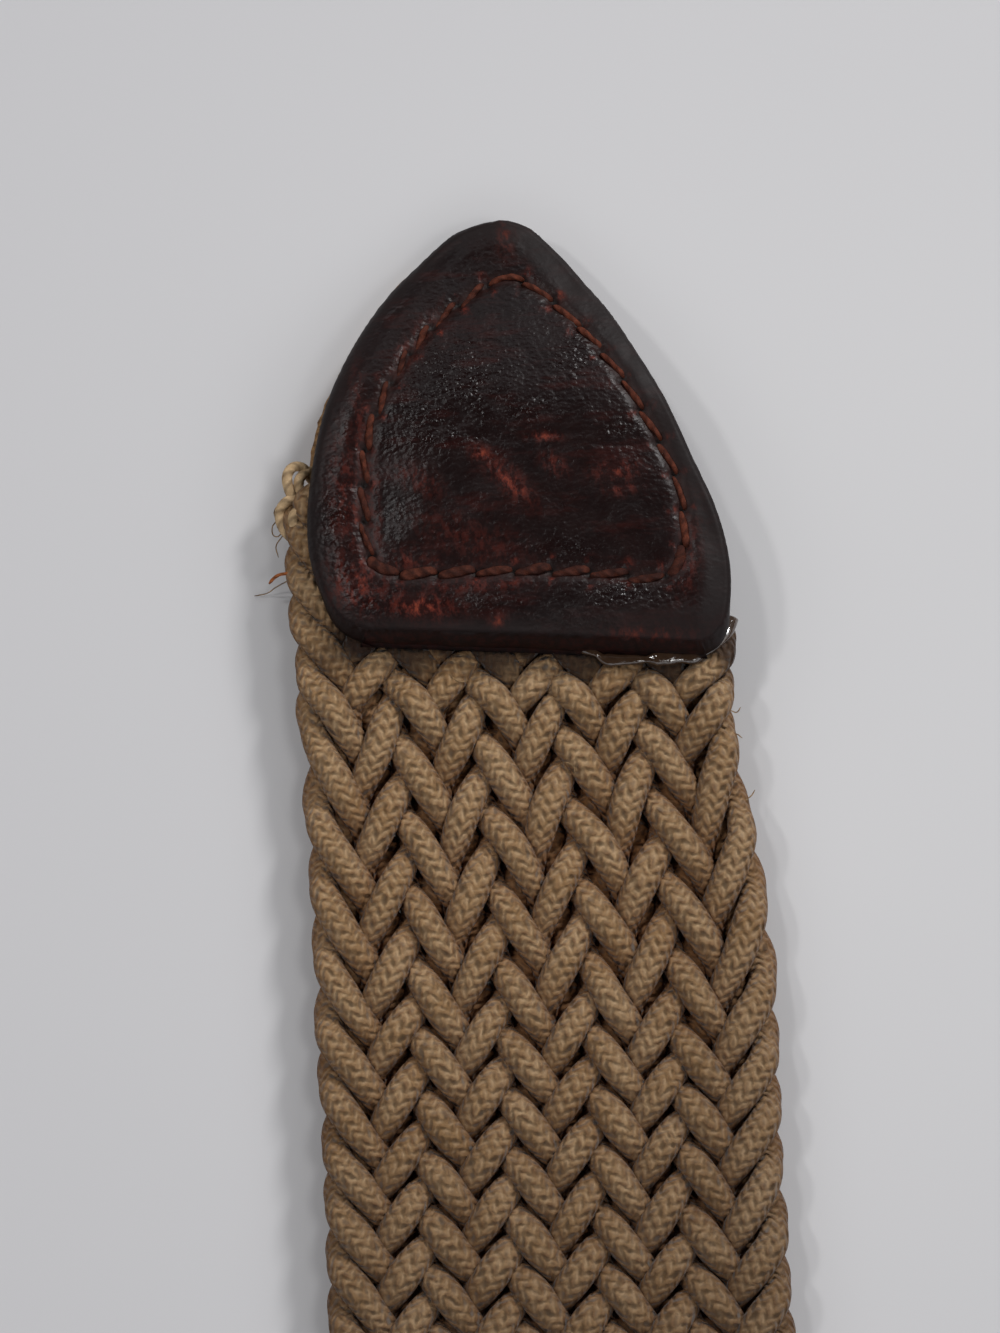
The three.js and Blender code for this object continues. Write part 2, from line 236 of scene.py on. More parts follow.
def join_meshes(meshes):
    verts, faces, uvs, start = [], [], [], 0
    for v, f, u in meshes:
        verts.append(v)
        faces += [tuple(i + start for i in face) for face in f]
        uvs += u
        start += len(v)
    return np.vstack(verts), faces, uvs


def loft_faces(rows, size):
    """The faces of a solid that runs through rows of points, with both its ends."""
    faces = [tuple(range(size))[::-1]]
    for r in range(rows - 1):
        for k in range(size):
            j = (k + 1) % size
            faces.append((r * size + k, r * size + j, (r + 1) * size + j, (r + 1) * size + k))
    faces.append(tuple(range((rows - 1) * size, rows * size)))
    return faces


# The camera, at the photograph's angle

CAMERA_TARGET = (-1.82, TIP_POINT - 35.63, 4.0)
CAMERA_DISTANCE = 248.14
CAMERA_ELEVATION = math.radians(76)
CAMERA_ROLL = math.radians(3.14)
CAMERA_LENS = 90


def add_camera():
    data = bpy.data.cameras.new("camera")
    data.lens = CAMERA_LENS
    data.clip_start, data.clip_end = 0.01, 20
    camera = bpy.data.objects.new("camera", data)
    bpy.context.scene.collection.objects.link(camera)
    back = Vector((0, -math.cos(CAMERA_ELEVATION), math.sin(CAMERA_ELEVATION)))
    level = Vector((1, 0, 0))
    above = back.cross(level)
    right = math.cos(CAMERA_ROLL) * level - math.sin(CAMERA_ROLL) * above
    top = math.sin(CAMERA_ROLL) * level + math.cos(CAMERA_ROLL) * above
    turn = Matrix((right, top, back)).transposed()
    place = (Vector(CAMERA_TARGET) + back * CAMERA_DISTANCE) * MM
    camera.matrix_world = Matrix.Translation(place) @ turn.to_4x4()
    bpy.context.scene.camera = camera


add_camera()


# Materials


def srgb(red, green, blue):
    """A colour given as the eye sees it, from 0 to 255, as the renderer's linear values."""
    values = []
    for value in (red, green, blue):
        share = value / 255
        values.append(share / 12.92 if share <= 0.04045 else ((share + 0.055) / 1.055) ** 2.4)
    return (*values, 1.0)


class Nodes:
    """A material's node tree, with short calls for the nodes that are used here."""

    def __init__(self, name):
        self.material = bpy.data.materials.new(name)
        self.material.use_nodes = True
        self.tree = self.material.node_tree
        self.shader = self.tree.nodes["Principled BSDF"]

    def add(self, kind, inputs=None, **settings):
        node = self.tree.nodes.new("ShaderNode" + kind)
        for key, value in settings.items():
            setattr(node, key, value)
        for key, value in (inputs or {}).items():
            self.put(value, node.inputs[key])
        return node

    def put(self, value, socket):
        if isinstance(value, bpy.types.NodeSocket):
            self.tree.links.new(value, socket)
        elif isinstance(value, bpy.types.Node):
            self.tree.links.new(value.outputs[0], socket)
        else:
            socket.default_value = value

    def maths(self, operation, a, b=0.0, clamp=False):
        return self.add("Math", {0: a, 1: b}, operation=operation, use_clamp=clamp).outputs[0]

    def times(self, a, b, clamp=False):
        return self.maths("MULTIPLY", a, b, clamp)

    def plus(self, a, b, clamp=False):
        return self.maths("ADD", a, b, clamp)

    def mix(self, share, a, b):
        node = self.add("Mix", data_type="RGBA")
        self.put(share, node.inputs[0])
        self.put(a, node.inputs[6])
        self.put(b, node.inputs[7])
        return node.outputs[2]

    def layers(self, base, *layers):
        """A colour with others laid over it, each given by its share and its colour."""
        for share, colour in layers:
            base = self.mix(share, base, colour)
        return base

    def ramp(self, value, low, high, to_low=0.0, to_high=1.0):
        inputs = {0: value, 1: low, 2: high, 3: to_low, 4: to_high}
        return self.add("MapRange", inputs).outputs[0]

    def noise(self, scale, detail=3.0, roughness=0.5, vector=None):
        inputs = {"Scale": scale, "Detail": detail, "Roughness": roughness}
        node = self.add("TexNoise", inputs)
        if vector is not None:
            self.put(vector, node.inputs["Vector"])
        return node.outputs["Fac"]

    def place(self, stretch=(1, 1, 1), turn=0.0):
        """The object's own coordinates, stretched, and turned about the upright axis."""
        where = self.add("TexCoord").outputs["Object"]
        inputs = {"Vector": where, "Scale": stretch, "Rotation": (0, 0, turn)}
        return self.add("Mapping", inputs).outputs[0]

    def bump(self, height, distance, strength=1.0):
        inputs = {"Height": height, "Distance": distance, "Strength": strength}
        return self.add("Bump", inputs).outputs[0]

    def attribute(self, name):
        return self.add("Attribute", attribute_name=name).outputs["Fac"]

    def finish(self, **sockets):
        for key, value in sockets.items():
            self.put(value, self.shader.inputs[key.replace("_", " ")])
        return self.material


CORD_PLAITS = 6
CORD_STITCH = 0.78
CORD_SLANT = 0.7


def cord_material():
    """A round cord's knitted sleeve: short slanted bundles of thread with random tone, painted highlights
    on their crowns, and painted shade in the pits between them, on each cord's sides and low parts, below
    the leather's base and down the strap.
    """
    n = Nodes("cord")
    uv = n.add("SeparateXYZ", {0: n.add("UVMap", uv_map="UVMap")})
    place = n.place()
    around = n.times(uv.outputs[0], 2 * math.pi * CORD_PLAITS)
    along = n.times(uv.outputs[1], 2 * math.pi / CORD_STITCH)
    wobble = n.ramp(n.noise(700, 2, vector=place), 0.3, 0.7, -1.9, 1.9)
    slant = n.times(n.maths("SINE", around), CORD_SLANT)
    along = n.plus(n.plus(along, wobble), slant)
    weave = n.times(n.maths("COSINE", around), n.maths("COSINE", along))
    # Painted shade in the pits between the weave's bundles.
    shaded_pits = n.ramp(weave, -0.85, -0.05, 1.0, 0.0)
    shaded_pits = n.times(shaded_pits, n.ramp(n.noise(480, 3, 0.6, place), 0.38, 0.6, 0.3, 1.0))
    # Painted highlight on the weave's crowns.
    lit_crowns = n.ramp(weave, 0.1, 1.0)
    # Painted shade on each cord's sides, darker away from the top of its section.
    beside = n.maths("ABSOLUTE", n.maths("SUBTRACT", uv.outputs[0], 0.25))
    patch = n.ramp(n.noise(240, 3, vector=place), 0.35, 0.68)
    fibre = n.noise(4200, 2, vector=place)
    # Painted shade on the cords' low parts, in the gaps between them, with less of it on the strap's outer
    # cords.
    low = n.ramp(n.add("SeparateXYZ", {0: place}).outputs[2], 1.8 * MM, 4.1 * MM, 0.8, 0.0)
    base = n.layers(
        n.mix(patch, CORD_SHADE, CORD_LIGHT),
        (n.times(lit_crowns, 0.35), CORD_CROWN_HIGHLIGHT),
        (n.times(shaded_pits, 0.64), CORD_PIT),
        (n.ramp(fibre, 0.3, 0.75, 0.0, 0.3), CORD_PIT),
        (n.ramp(beside, 0.06, 0.24, 0.0, 0.6), CORD_PIT),
        (n.times(low, n.attribute("inner")), CORD_LOW_SHADE),
        # Painted shadow below the leather's base and at its left corner, painted shade down the strap, and
        # a darkening towards the right.
        (n.attribute("painted_shade_and_darkening"), CORD_SHADE_AND_DARKENING),
    )
    height = n.plus(weave, n.times(fibre, 0.5))
    return n.finish(
        Base_Color=base,
        Roughness=0.85,
        Normal=n.bump(height, 0.17 * MM),
        Sheen_Weight=0.1,
        Sheen_Roughness=0.5,
        Specular_IOR_Level=0.25,
    )


def leather_material():
    """Dark brown grained leather: red where it's scuffed, smooth and darker on its worn edges."""
    n = Nodes("leather")
    place = n.place()
    bent = n.place((1, 1.35, 1), 0.4)
    pebbles = n.add("TexVoronoi", {"Vector": bent, "Scale": 2500.0}, feature="SMOOTH_F1").outputs[0]
    grain = n.ramp(pebbles, 0.1, 0.75, 1.0, 0.0)
    fine = n.noise(2600, 2, 0.5, place)
    broad = n.noise(190, 4, 0.6, place)
    streaks = n.noise(420, 4, 0.65, n.place((0.45, 1.7, 1)))
    tears = n.noise(1900, 6, 0.7, n.place((1, 0.6, 1), 0.8))
    edge = n.attribute("edge")
    groove = n.attribute("groove")
    scuff = n.attribute("scuff")
    polish = n.attribute("polish")
    worn = n.times(scuff, n.ramp(tears, 0.46, 0.58), clamp=True)
    raw = n.times(n.ramp(scuff, 0.45, 0.95), n.ramp(tears, 0.55, 0.67), clamp=True)
    base = n.layers(
        n.mix(n.ramp(broad, 0.35, 0.7), LEATHER_DARK, LEATHER_LIGHT),
        (n.ramp(streaks, 0.52, 0.72, 0.0, 0.5), LEATHER_STREAK),
        (n.ramp(grain, 0.0, 0.5, 0.4, 0.0), LEATHER_CREASE),
        (n.times(scuff, 0.3), LEATHER_RUBBED),
        (worn, LEATHER_WORN),
        (raw, LEATHER_RAW),
        (n.times(edge, 0.6), LEATHER_EDGE),
        (n.times(groove, 0.55), LEATHER_GROOVE),
        (n.attribute("hole"), LEATHER_HOLE),
    )
    calm = n.times(n.ramp(edge, 0.0, 1.0, 1.0, 0.3), n.ramp(broad, 0.35, 0.65, 0.8, 1.0))
    calm = n.plus(n.times(calm, 0.5), n.times(polish, 0.9))
    height = n.times(n.plus(n.times(grain, 0.6), fine), calm)
    gloss = n.times(polish, n.ramp(n.noise(1100, 3, 0.6, place), 0.42, 0.58))
    rough = n.ramp(n.noise(800, 4, 0.6, place), 0.3, 0.7, 0.27, 0.38)
    rough = n.plus(rough, n.times(worn, 0.2))
    rough = n.maths("SUBTRACT", rough, n.times(gloss, 0.12))
    rough = n.plus(rough, n.times(n.maths("MAXIMUM", edge, groove), 0.24))
    return n.finish(
        Base_Color=base,
        Roughness=rough,
        Normal=n.bump(height, 0.1 * MM),
        Specular_IOR_Level=0.2,
    )


def backing_material():
    """The lower leather: dark, with a raw tan edge."""
    n = Nodes("backing")
    edge = n.attribute("edge")
    fuzz = n.noise(2600, 4, 0.7, n.place())
    tan = n.mix(n.ramp(fuzz, 0.3, 0.7), srgb(88, 60, 38), srgb(182, 142, 98))
    dark = n.mix(n.ramp(fuzz, 0.3, 0.7), srgb(24, 14, 12), srgb(44, 24, 18))
    return n.finish(
        Base_Color=n.mix(edge, dark, tan),
        Roughness=0.85,
        Normal=n.bump(fuzz, 0.12 * MM),
        Specular_IOR_Level=0.25,
    )


def thread_material(name, light, dark):
    """A waxed sewing thread, faintly twisted, with painted shade in the grooves of its twist."""
    n = Nodes(name)
    uv = n.add("SeparateXYZ", {0: n.add("UVMap", uv_map="UVMap")})
    angle = n.times(uv.outputs[0], 4 * math.pi)
    run = n.times(uv.outputs[1], 7.0)
    twist = n.maths("SINE", n.plus(angle, run))
    worn = n.ramp(n.noise(1500, 4, 0.6, n.place()), 0.35, 0.65, -0.22, 0.22)
    fresh = n.plus(worn, n.attribute("fresh"), clamp=True)
    base = n.mix(fresh, dark, light)
    fuzz = n.noise(3600, 4, 0.7, n.place())
    height = n.plus(n.times(twist, 0.5), fuzz)
    base = n.mix(n.ramp(fuzz, 0.35, 0.65, 0.45, 0.0), base, dark)
    return n.finish(
        # Painted shade in the grooves of the twist.
        Base_Color=n.mix(n.ramp(twist, -1.0, 0.0, 0.45, 0.0), base, srgb(24, 11, 8)),
        Roughness=0.75,
        Normal=n.bump(height, 0.07 * MM),
        Specular_IOR_Level=0.12,
    )


def glue_material():
    n = Nodes("glue")
    haze = n.noise(1500, 3, 0.5, n.place())
    return n.finish(
        Base_Color=n.mix(haze, srgb(38, 24, 17), srgb(74, 54, 38)),
        Roughness=0.1,
        Normal=n.bump(haze, 0.2 * MM, 0.6),
        Specular_IOR_Level=0.7,
        Coat_Weight=1.0,
        Coat_Roughness=0.03,
    )


def metal_material():
    n = Nodes("buckle_metal")
    brushed = n.noise(900, 4, 0.6, n.place((1, 14, 14)))
    patina = n.noise(120, 3, 0.5, n.place())
    return n.finish(
        Base_Color=n.mix(n.ramp(patina, 0.35, 0.7), srgb(176, 170, 160), srgb(150, 142, 130)),
        Metallic=1.0,
        Roughness=n.ramp(brushed, 0.3, 0.7, 0.24, 0.42),
        Normal=n.bump(brushed, 0.01 * MM),
    )


CORD_SHADE = srgb(144, 112, 75)
CORD_LIGHT = srgb(172, 141, 104)
# Painted highlight colour for the weave's crowns.
CORD_CROWN_HIGHLIGHT = srgb(202, 175, 141)
# Painted shade colour for the weave's pits and the cords' sides, also used for the fibres' random
# darkening.
CORD_PIT = srgb(88, 54, 27)
# Painted shade colour for the cords' low parts.
CORD_LOW_SHADE = srgb(118, 70, 33)
# Dark colour for the cords' painted shadow below the leather, their painted shade down the strap and their
# darkening towards the right.
CORD_SHADE_AND_DARKENING = srgb(44, 26, 16)
LEATHER_DARK = srgb(19, 10, 10)
LEATHER_LIGHT = srgb(27, 13, 12)
LEATHER_STREAK = srgb(56, 20, 16)
LEATHER_CREASE = srgb(17, 9, 9)
LEATHER_RUBBED = srgb(66, 22, 16)
LEATHER_WORN = srgb(92, 33, 22)
LEATHER_RAW = srgb(128, 56, 35)
LEATHER_EDGE = srgb(19, 8, 7)
LEATHER_GROOVE = srgb(46, 18, 12)
LEATHER_HOLE = srgb(8, 3, 2)
CORD = cord_material()
LEATHER = leather_material()
BACKING = backing_material()
STITCH_THREAD = thread_material("stitch_thread", srgb(120, 62, 42), srgb(50, 25, 20))
LOOSE_THREAD = thread_material("loose_thread", srgb(182, 108, 60), srgb(124, 68, 38))
YARN = thread_material("yarn", srgb(206, 178, 140), srgb(146, 116, 82))
METAL = metal_material()
GLUE = glue_material()


# The braid

CORDS = 21
CORD_WIDTH = 2.42
PINCHED_WIDTH = 2.05
UNDER_WIDTH = 3.1
UNDER_SWING = 0.85
CORD_THICKNESS = 2.1
CORD_SWING = 1.15
SWING_FLATNESS = 0.15
UNEVENNESS = 0.07
# Painted shadow on the cords just below the leather's base: its strength, how far it reaches on cords
# running rightwards and leftwards, and the place and width of the painted shadow at the base's left
# corner.
SHADOW_AT_BASE = 0.9
RIGHTWARD_SHADOW = (1.3, 3.2)
LEFTWARD_SHADOW = (0.4, 1.3)
SHADOWED_CORNER = (-12.4, 1.5)
# How much less painted shade the strap's outer cords get on their low parts.
OUTER_SHADE_CUT = 0.6
# Painted shade darker down the strap for the light's falloff, a darkening towards the right, and where the
# painted shade down the strap grows.
DOWN_SHADE = 0.4
RIGHT_DARKENING = 0.1
DOWN_SHADE_RUN = (48, 95)
CELL_PITCH = 4.15
CELL_STEPS = 9
TURN_ROUNDING = 0.9

# How far each row of the herringbone lies from the tip's point, in the middle, and how much
# further it lies for each millimetre to the right
FIRST_ROW = 0.75
ROWS = (
    (34.8, 0.06),
    (38.1, 0.026),
    (43.4, -0.051),
    (49.3, -0.007),
    (55.1, -0.004),
    (60.7, 0.026),
    (65.3, 0.042),
    (69.7, 0.017),
    (73.8, 0.026),
    (78.2, 0.047),
    (82.1, 0.041),
    (86.3, 0.03),
    (90.4, 0.02),
    (94.6, 0.01),
    (98.7, 0.0),
)
INNER_PITCH = 3.6
CORD_START = 18.0
DETAIL_ROWS = 14
LOOSE_UNTIL = (45, 75)


def fold(count):
    """A cord's place across as it goes to and fro: -1 at the strap's left side, 1 at its right."""
    count = np.mod(count, 2 * CORDS)
    count = np.where(count > CORDS, 2 * CORDS - count, count)

    def rounded(distance):
        curve = distance**2 / (2 * TURN_ROUNDING) + TURN_ROUNDING / 2
        return np.where(distance < TURN_ROUNDING, curve, distance)

    columns = np.where(count < CORDS / 2, rounded(count), CORDS - rounded(CORDS - count))
    return (columns - CORDS / 2) / (CORDS / 2 - TURN_ROUNDING / 2)


def swing(count):
    """A cord's height, from 1 where it lies over two others to -1 where it lies under two."""
    run = np.mod(count, CORDS)
    turns = np.array([0, *np.arange(2.5, CORDS - 1, 2), CORDS])
    number = np.clip(np.searchsorted(turns, run, side="right") - 1, 0, len(turns) - 2)
    share = (run - turns[number]) / (turns[number + 1] - turns[number])
    wave = np.sin(np.pi * share)
    wave *= (1 + SWING_FLATNESS) / (1 + SWING_FLATNESS * wave**2)
    return np.where(number % 2, -wave, wave)


def row_place(row):
    """How far from the tip's point a row of the braid lies, and how much it slopes."""
    places, slopes = np.array(ROWS).T
    numbers = FIRST_ROW + np.arange(len(ROWS))
    place = np.interp(row, numbers, places)
    place = np.where(row < FIRST_ROW, places[0] + (row - FIRST_ROW) * INNER_PITCH, place)
    place = np.where(row > numbers[-1], places[-1] + (row - numbers[-1]) * CELL_PITCH, place)
    return place, np.interp(row, numbers, slopes)


def tip_place(down, x):
    return TIP_POINT - down * (TIP_LENGTH + BASE_SKEW * x / (TIP_WIDTH / 2))


def tip_down(x, y):
    return (TIP_POINT - y) / (TIP_LENGTH + BASE_SKEW * x / (TIP_WIDTH / 2))


def tip_half(down, number):
    return column(TIP_SIDES, down, number) * TIP_WIDTH / 2


def strap_side(number, down, tuck):
    free = column(STRAP_SIDES, down, number) * STRAP_WIDTH / 2
    tucked = np.minimum(free, TUCK_SHARE * tip_half(down, number))
    return lerp(tucked, free, smoothstep(down, *tuck))


def fill(down):
    """How thick the strap's end is inside the tip."""
    return PRESSED_THICKNESS * smoothstep(down, *WEDGE)


def cord_tube(number, rows, sides):
    """A stretch of one cord, between two rows of the braid."""
    count = 2 * (rows + number)
    place, slope = row_place(rows)
    loose = 1 - smoothstep(place, *LOOSE_UNTIL)
    seed = 11 * number
    across = fold(count)
    place = place + slope * across * STRAP_WIDTH / 2
    place = place + (0.05 + 0.25 * loose) * noise(place, count, 5.3, seed + 1)
    wave = swing(count)
    down = place / TIP_LENGTH
    left = CORD_WIDTH / 2 - strap_side(1, down, LEFT_TUCK)
    right = strap_side(2, down, RIGHT_TUCK) - CORD_WIDTH / 2
    x = lerp(left, right, (across + 1) / 2)
    x = x + (0.05 + 0.15 * loose) * noise(place, count, 3.1, seed + 2)
    y = TIP_POINT - place
    in_tip = 1 - smoothstep(place - TIP_LENGTH - BASE_SKEW, 0, PRESS_RUN)
    in_tab = 1 - smoothstep(y - TAB_END, 0, PRESS_RUN)
    lifted = np.maximum(in_tip, in_tab)
    flat_at_tip = 1 - smoothstep(place - TIP_LENGTH - BASE_SKEW, 0.4, FLAT_RUN)
    pressed = np.maximum(flat_at_tip, in_tab)
    thickness = np.where(in_tip > in_tab, fill(down), PRESSED_THICKNESS)
    free_height = 2 * CORD_SWING + CORD_THICKNESS
    scale = lerp(1.0, thickness / free_height, pressed)
    middle = lerp(free_height / 2, LIFT + thickness / 2, lifted)
    z = middle + wave * np.where(wave > 0, 1.0, UNDER_SWING) * CORD_SWING * scale
    z = z + (0.04 + 0.08 * loose) * noise(place, count, 2.7, seed + 3)
    width = lerp(PINCHED_WIDTH, np.where(wave > 0, CORD_WIDTH, UNDER_WIDTH), np.abs(wave))
    width = width * (1 + UNEVENNESS * noise(place, count, 3.7, seed + 4))
    tube = tube_mesh(np.stack([x, y, z], axis=1), width, CORD_THICKNESS * scale, sides)
    from_base = tip_down(x, y) * TIP_LENGTH - TIP_LENGTH
    # Painted shadow below the leather's base and at its left corner, painted shade down the strap, and a
    # darkening towards the right.
    rightward = np.mod(count, 2 * CORDS) < CORDS
    start, end = np.where(rightward, *np.array([RIGHTWARD_SHADOW, LEFTWARD_SHADOW])[:, :, None])
    base_shadow = smoothstep(from_base, -2.5, -0.5) * (1 - smoothstep(from_base, start, end))
    base_shadow = SHADOW_AT_BASE * base_shadow * smoothstep(x, -TIP_WIDTH / 2, -TIP_WIDTH / 2 + 2.5)
    corner_x, corner_width = SHADOWED_CORNER
    corner_shadow = np.exp(-(((x - corner_x) / corner_width) ** 2)) * (1 - smoothstep(from_base, 0.8, 2.4))
    darker_down_and_right = DOWN_SHADE * smoothstep(place, *DOWN_SHADE_RUN) + RIGHT_DARKENING * smoothstep(x, 3, 14)
    painted_shade_and_darkening = np.maximum(np.maximum(base_shadow, corner_shadow), darker_down_and_right)
    # Less painted shade on the low parts of the strap's outer cords.
    inner = 1 - OUTER_SHADE_CUT * smoothstep(np.abs(across), 0.8, 0.95)
    return tube, np.repeat(painted_shade_and_darkening, sides), np.repeat(inner, sides)


def make_braid():
    first = FIRST_ROW - (ROWS[0][0] - CORD_START) / INNER_PITCH
    last = FIRST_ROW + len(ROWS) - 1 + (TIP_POINT - STRAP_END - ROWS[-1][0]) / CELL_PITCH
    fine = np.arange(first, DETAIL_ROWS + 0.1, 0.5 / CELL_STEPS)
    coarse = np.arange(DETAIL_ROWS, last, 1.5 / CELL_STEPS)
    for number in range(CORDS):
        near, *near_looks = cord_tube(number, fine, 14)
        far, *far_looks = cord_tube(number, coarse, 8)
        verts, faces, uvs = join_meshes([near, far])
        painted_shade_and_darkening, inner = (np.concatenate(pair) for pair in zip(near_looks, far_looks))
        colours = {"painted_shade_and_darkening": painted_shade_and_darkening, "inner": inner}
        piece = make_piece(f"cord_{number + 1:02d}", verts, faces, CORD, uvs, colours=colours)
        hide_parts("braided_strap")


make_braid()


# The leather tip's front layer

TIP_ROWS = 208
TIP_COLUMNS = 150
COLUMN_CROWDING = 0.6
WALL_POINTS = 4
UNDERSIDE_COLUMNS = 24
BASE_WALL_ROWS = 6
BASE_FLARE = 0.7
BASE_WALL_SCUFF = 0.3
WALL_BULGE = 0.06
CORNER_REACH = 1.2
EDGE_RADIUS = (0.8, 0.5)
BASE_EDGE_RADIUS = 0.3
EDGE_SLOPE = (0.45, 0.22)
EDGE_SLOPE_WIDTH = 2.4
POINT_ROUNDING = 0.06
PANEL_PUFF = 0.17
GROOVE_DEPTH = 0.24
GROOVE_WIDTH = 0.5
PUCKER_DEPTH = 0.3
STITCH_PITCH = 2.8
TORN = 0.9

# The line of stitches: x, then how far down from the tip's point
STITCH_LINE = (
    (0.8, 5.2),
    (3.9, 7.4),
    (7.5, 12.4),
    (9.9, 17.0),
    (12.0, 22.0),
    (12.45, 25.6),
    (12.1, 28.6),
    (10.6, 30.0),
    (8.2, 29.8),
    (3.2, 29.25),
    (-1.5, 29.0),
    (-6.2, 28.9),
    (-9.4, 28.7),
    (-11.0, 27.3),
    (-11.3, 24.0),
    (-10.8, 18.0),
    (-8.5, 13.1),
    (-5.6, 9.1),
    (-2.0, 6.1),
)

# Worn places: x, how far down, half length, half width, turn in degrees, strength
SCUFFS = (
    (-2.2, 20.0, 0.8, 0.45, -40, 1.0),
    (-0.3, 22.1, 1.7, 0.6, -50, 1.0),
    (3.1, 21.0, 0.9, 0.5, -40, 0.6),
    (7.8, 21.7, 1.4, 0.6, 5, 0.75),
    (8.0, 23.2, 1.0, 0.35, 10, 0.7),
    (-7.2, 21.6, 1.5, 0.7, -35, 0.5),
    (2.5, 18.8, 0.9, 0.25, -5, 1.0),
    (-3.6, 26.4, 3.5, 1.2, -25, 0.3),
    (-7.4, 31.4, 2.0, 0.8, -8, 1.0),
    (-1.8, 32.8, 0.45, 0.4, 0, 1.0),
    (9.2, 34.4, 2.6, 0.5, -4, 0.9),
    (-12.3, 29.4, 2.0, 2.0, 0, 0.7),
    (-8.8, 27.9, 1.6, 0.7, 0, 0.6),
    (-3.1, 30.0, 3.4, 0.5, 0, 0.45),
    (-12.4, 22.5, 1.1, 3.8, 4, 0.55),
    (-11.0, 20.5, 0.5, 6.0, 4, 0.6),
    (-7.0, 10.6, 0.6, 2.6, -35, 0.5),
    (12.6, 28.0, 0.8, 2.8, -8, 0.5),
    (0.4, 1.5, 0.5, 1.1, 0, 0.8),
)

# Polished places that catch the light, in the same columns
POLISHED = (
    (-4.2, 13.6, 3.2, 2.4, 0, 1.0),
    (-6.6, 15.2, 1.6, 2.6, 20, 0.9),
    (-5.5, 18.2, 4.2, 1.2, -8, 0.7),
    (0.0, 16.6, 4.0, 1.0, 0, 0.7),
    (5.5, 11.8, 1.2, 2.2, -40, 0.7),
    (8.4, 18.4, 1.6, 0.7, 0, 0.6),
    (3.5, 27.6, 2.2, 0.8, 0, 0.6),
    (-14.0, 24.0, 1.1, 4.0, 0, 1.0),
    (-11.6, 31.4, 1.5, 1.4, -30, 1.0),
    (-13.2, 28.6, 1.0, 2.4, 20, 0.6),
    (3.8, 33.0, 3.2, 0.8, -5, 1.0),
    (7.4, 31.2, 2.8, 0.9, 0, 0.9),
    (-2.5, 31.4, 2.4, 0.6, 0, 0.5),
)

# Creases across the panel: x of the middle, how far down, half length, depth
CREASES = (
    (-4.0, 17.4, 5.0, 0.06),
    (1.5, 18.7, 7.5, 0.1),
    (6.0, 19.7, 4.5, 0.08),
    (0.0, 16.9, 6.0, 0.05),
    (-3.0, 26.6, 5.0, 0.03),
)


# How uneven the leather lies: height, size, the noise's number
LEATHER_WAVES = (
    (0.12, 5.0, 3),
    (0.05, 1.7, 4),
    (0.015, 0.6, 5),
)


def marks(table, x, y):
    """How strongly places lie in a table's oval marks: x, how far down, half sizes, turn, strength."""
    strongest = np.zeros(np.shape(x))
    for mark_x, down, length, width, turn, strength in table:
        c, s = math.cos(math.radians(turn)), math.sin(math.radians(turn))
        a, b = x - mark_x, y - (TIP_POINT - down)
        reach = ((a * c + b * s) / length) ** 2 + ((b * c - a * s) / width) ** 2
        strongest = np.maximum(strongest, strength * np.exp(-0.7 * reach))
    return strongest


def tip_outline(step):
    """The tip's outline: up its left side, down its right side and back along its base."""
    sides = spline(TIP_SIDES, TIP_ROWS)
    left, right = -sides[::-1, 1] * TIP_WIDTH / 2, sides[:, 2] * TIP_WIDTH / 2
    x = np.concatenate([left, right, left[:1]])
    y = np.concatenate([tip_place(sides[::-1, 0], left), tip_place(sides[:, 0], right)])
    y = np.append(y, y[0])
    return even_path(np.stack([x, y], axis=1), step)


def nearest(line):
    """A call that gives how far places are from a line of points, and the nearest point's number."""
    tree = KDTree(len(line))
    for number, point in enumerate(line):
        tree.insert((point[0], point[1], 0), number)
    tree.balance()

    def find(x, y):
        found = [tree.find((a, b, 0)) for a, b in zip(np.ravel(x), np.ravel(y))]
        distance = np.array([item[2] for item in found]).reshape(np.shape(x))
        number = np.array([item[1] for item in found]).reshape(np.shape(x))
        return distance, number

    return find


LINE_STEP = 0.1
STITCH_LINE_POINTS = 1200
stitch_points = np.array(STITCH_LINE + STITCH_LINE[:3])
stitch_points[:, 1] = TIP_POINT - stitch_points[:, 1]
stitch_curve = spline(stitch_points, STITCH_LINE_POINTS)
loop_start = STITCH_LINE_POINTS // (len(stitch_points) - 1)
loop_end = loop_start * (len(STITCH_LINE) + 1)
STITCH_PATH = even_path(stitch_curve[loop_start:loop_end], LINE_STEP)
STITCH_RUN = (len(STITCH_PATH) - 1) * LINE_STEP
STITCH_COUNT = round(STITCH_RUN / STITCH_PITCH)
STITCH_STEP = STITCH_RUN / STITCH_COUNT
from_stitches = nearest(STITCH_PATH)
from_outline = nearest(tip_outline(LINE_STEP))


def leather_under(down):
    return LIFT + fill(down) + SEAM_GAP * smoothstep(down, *WEDGE)


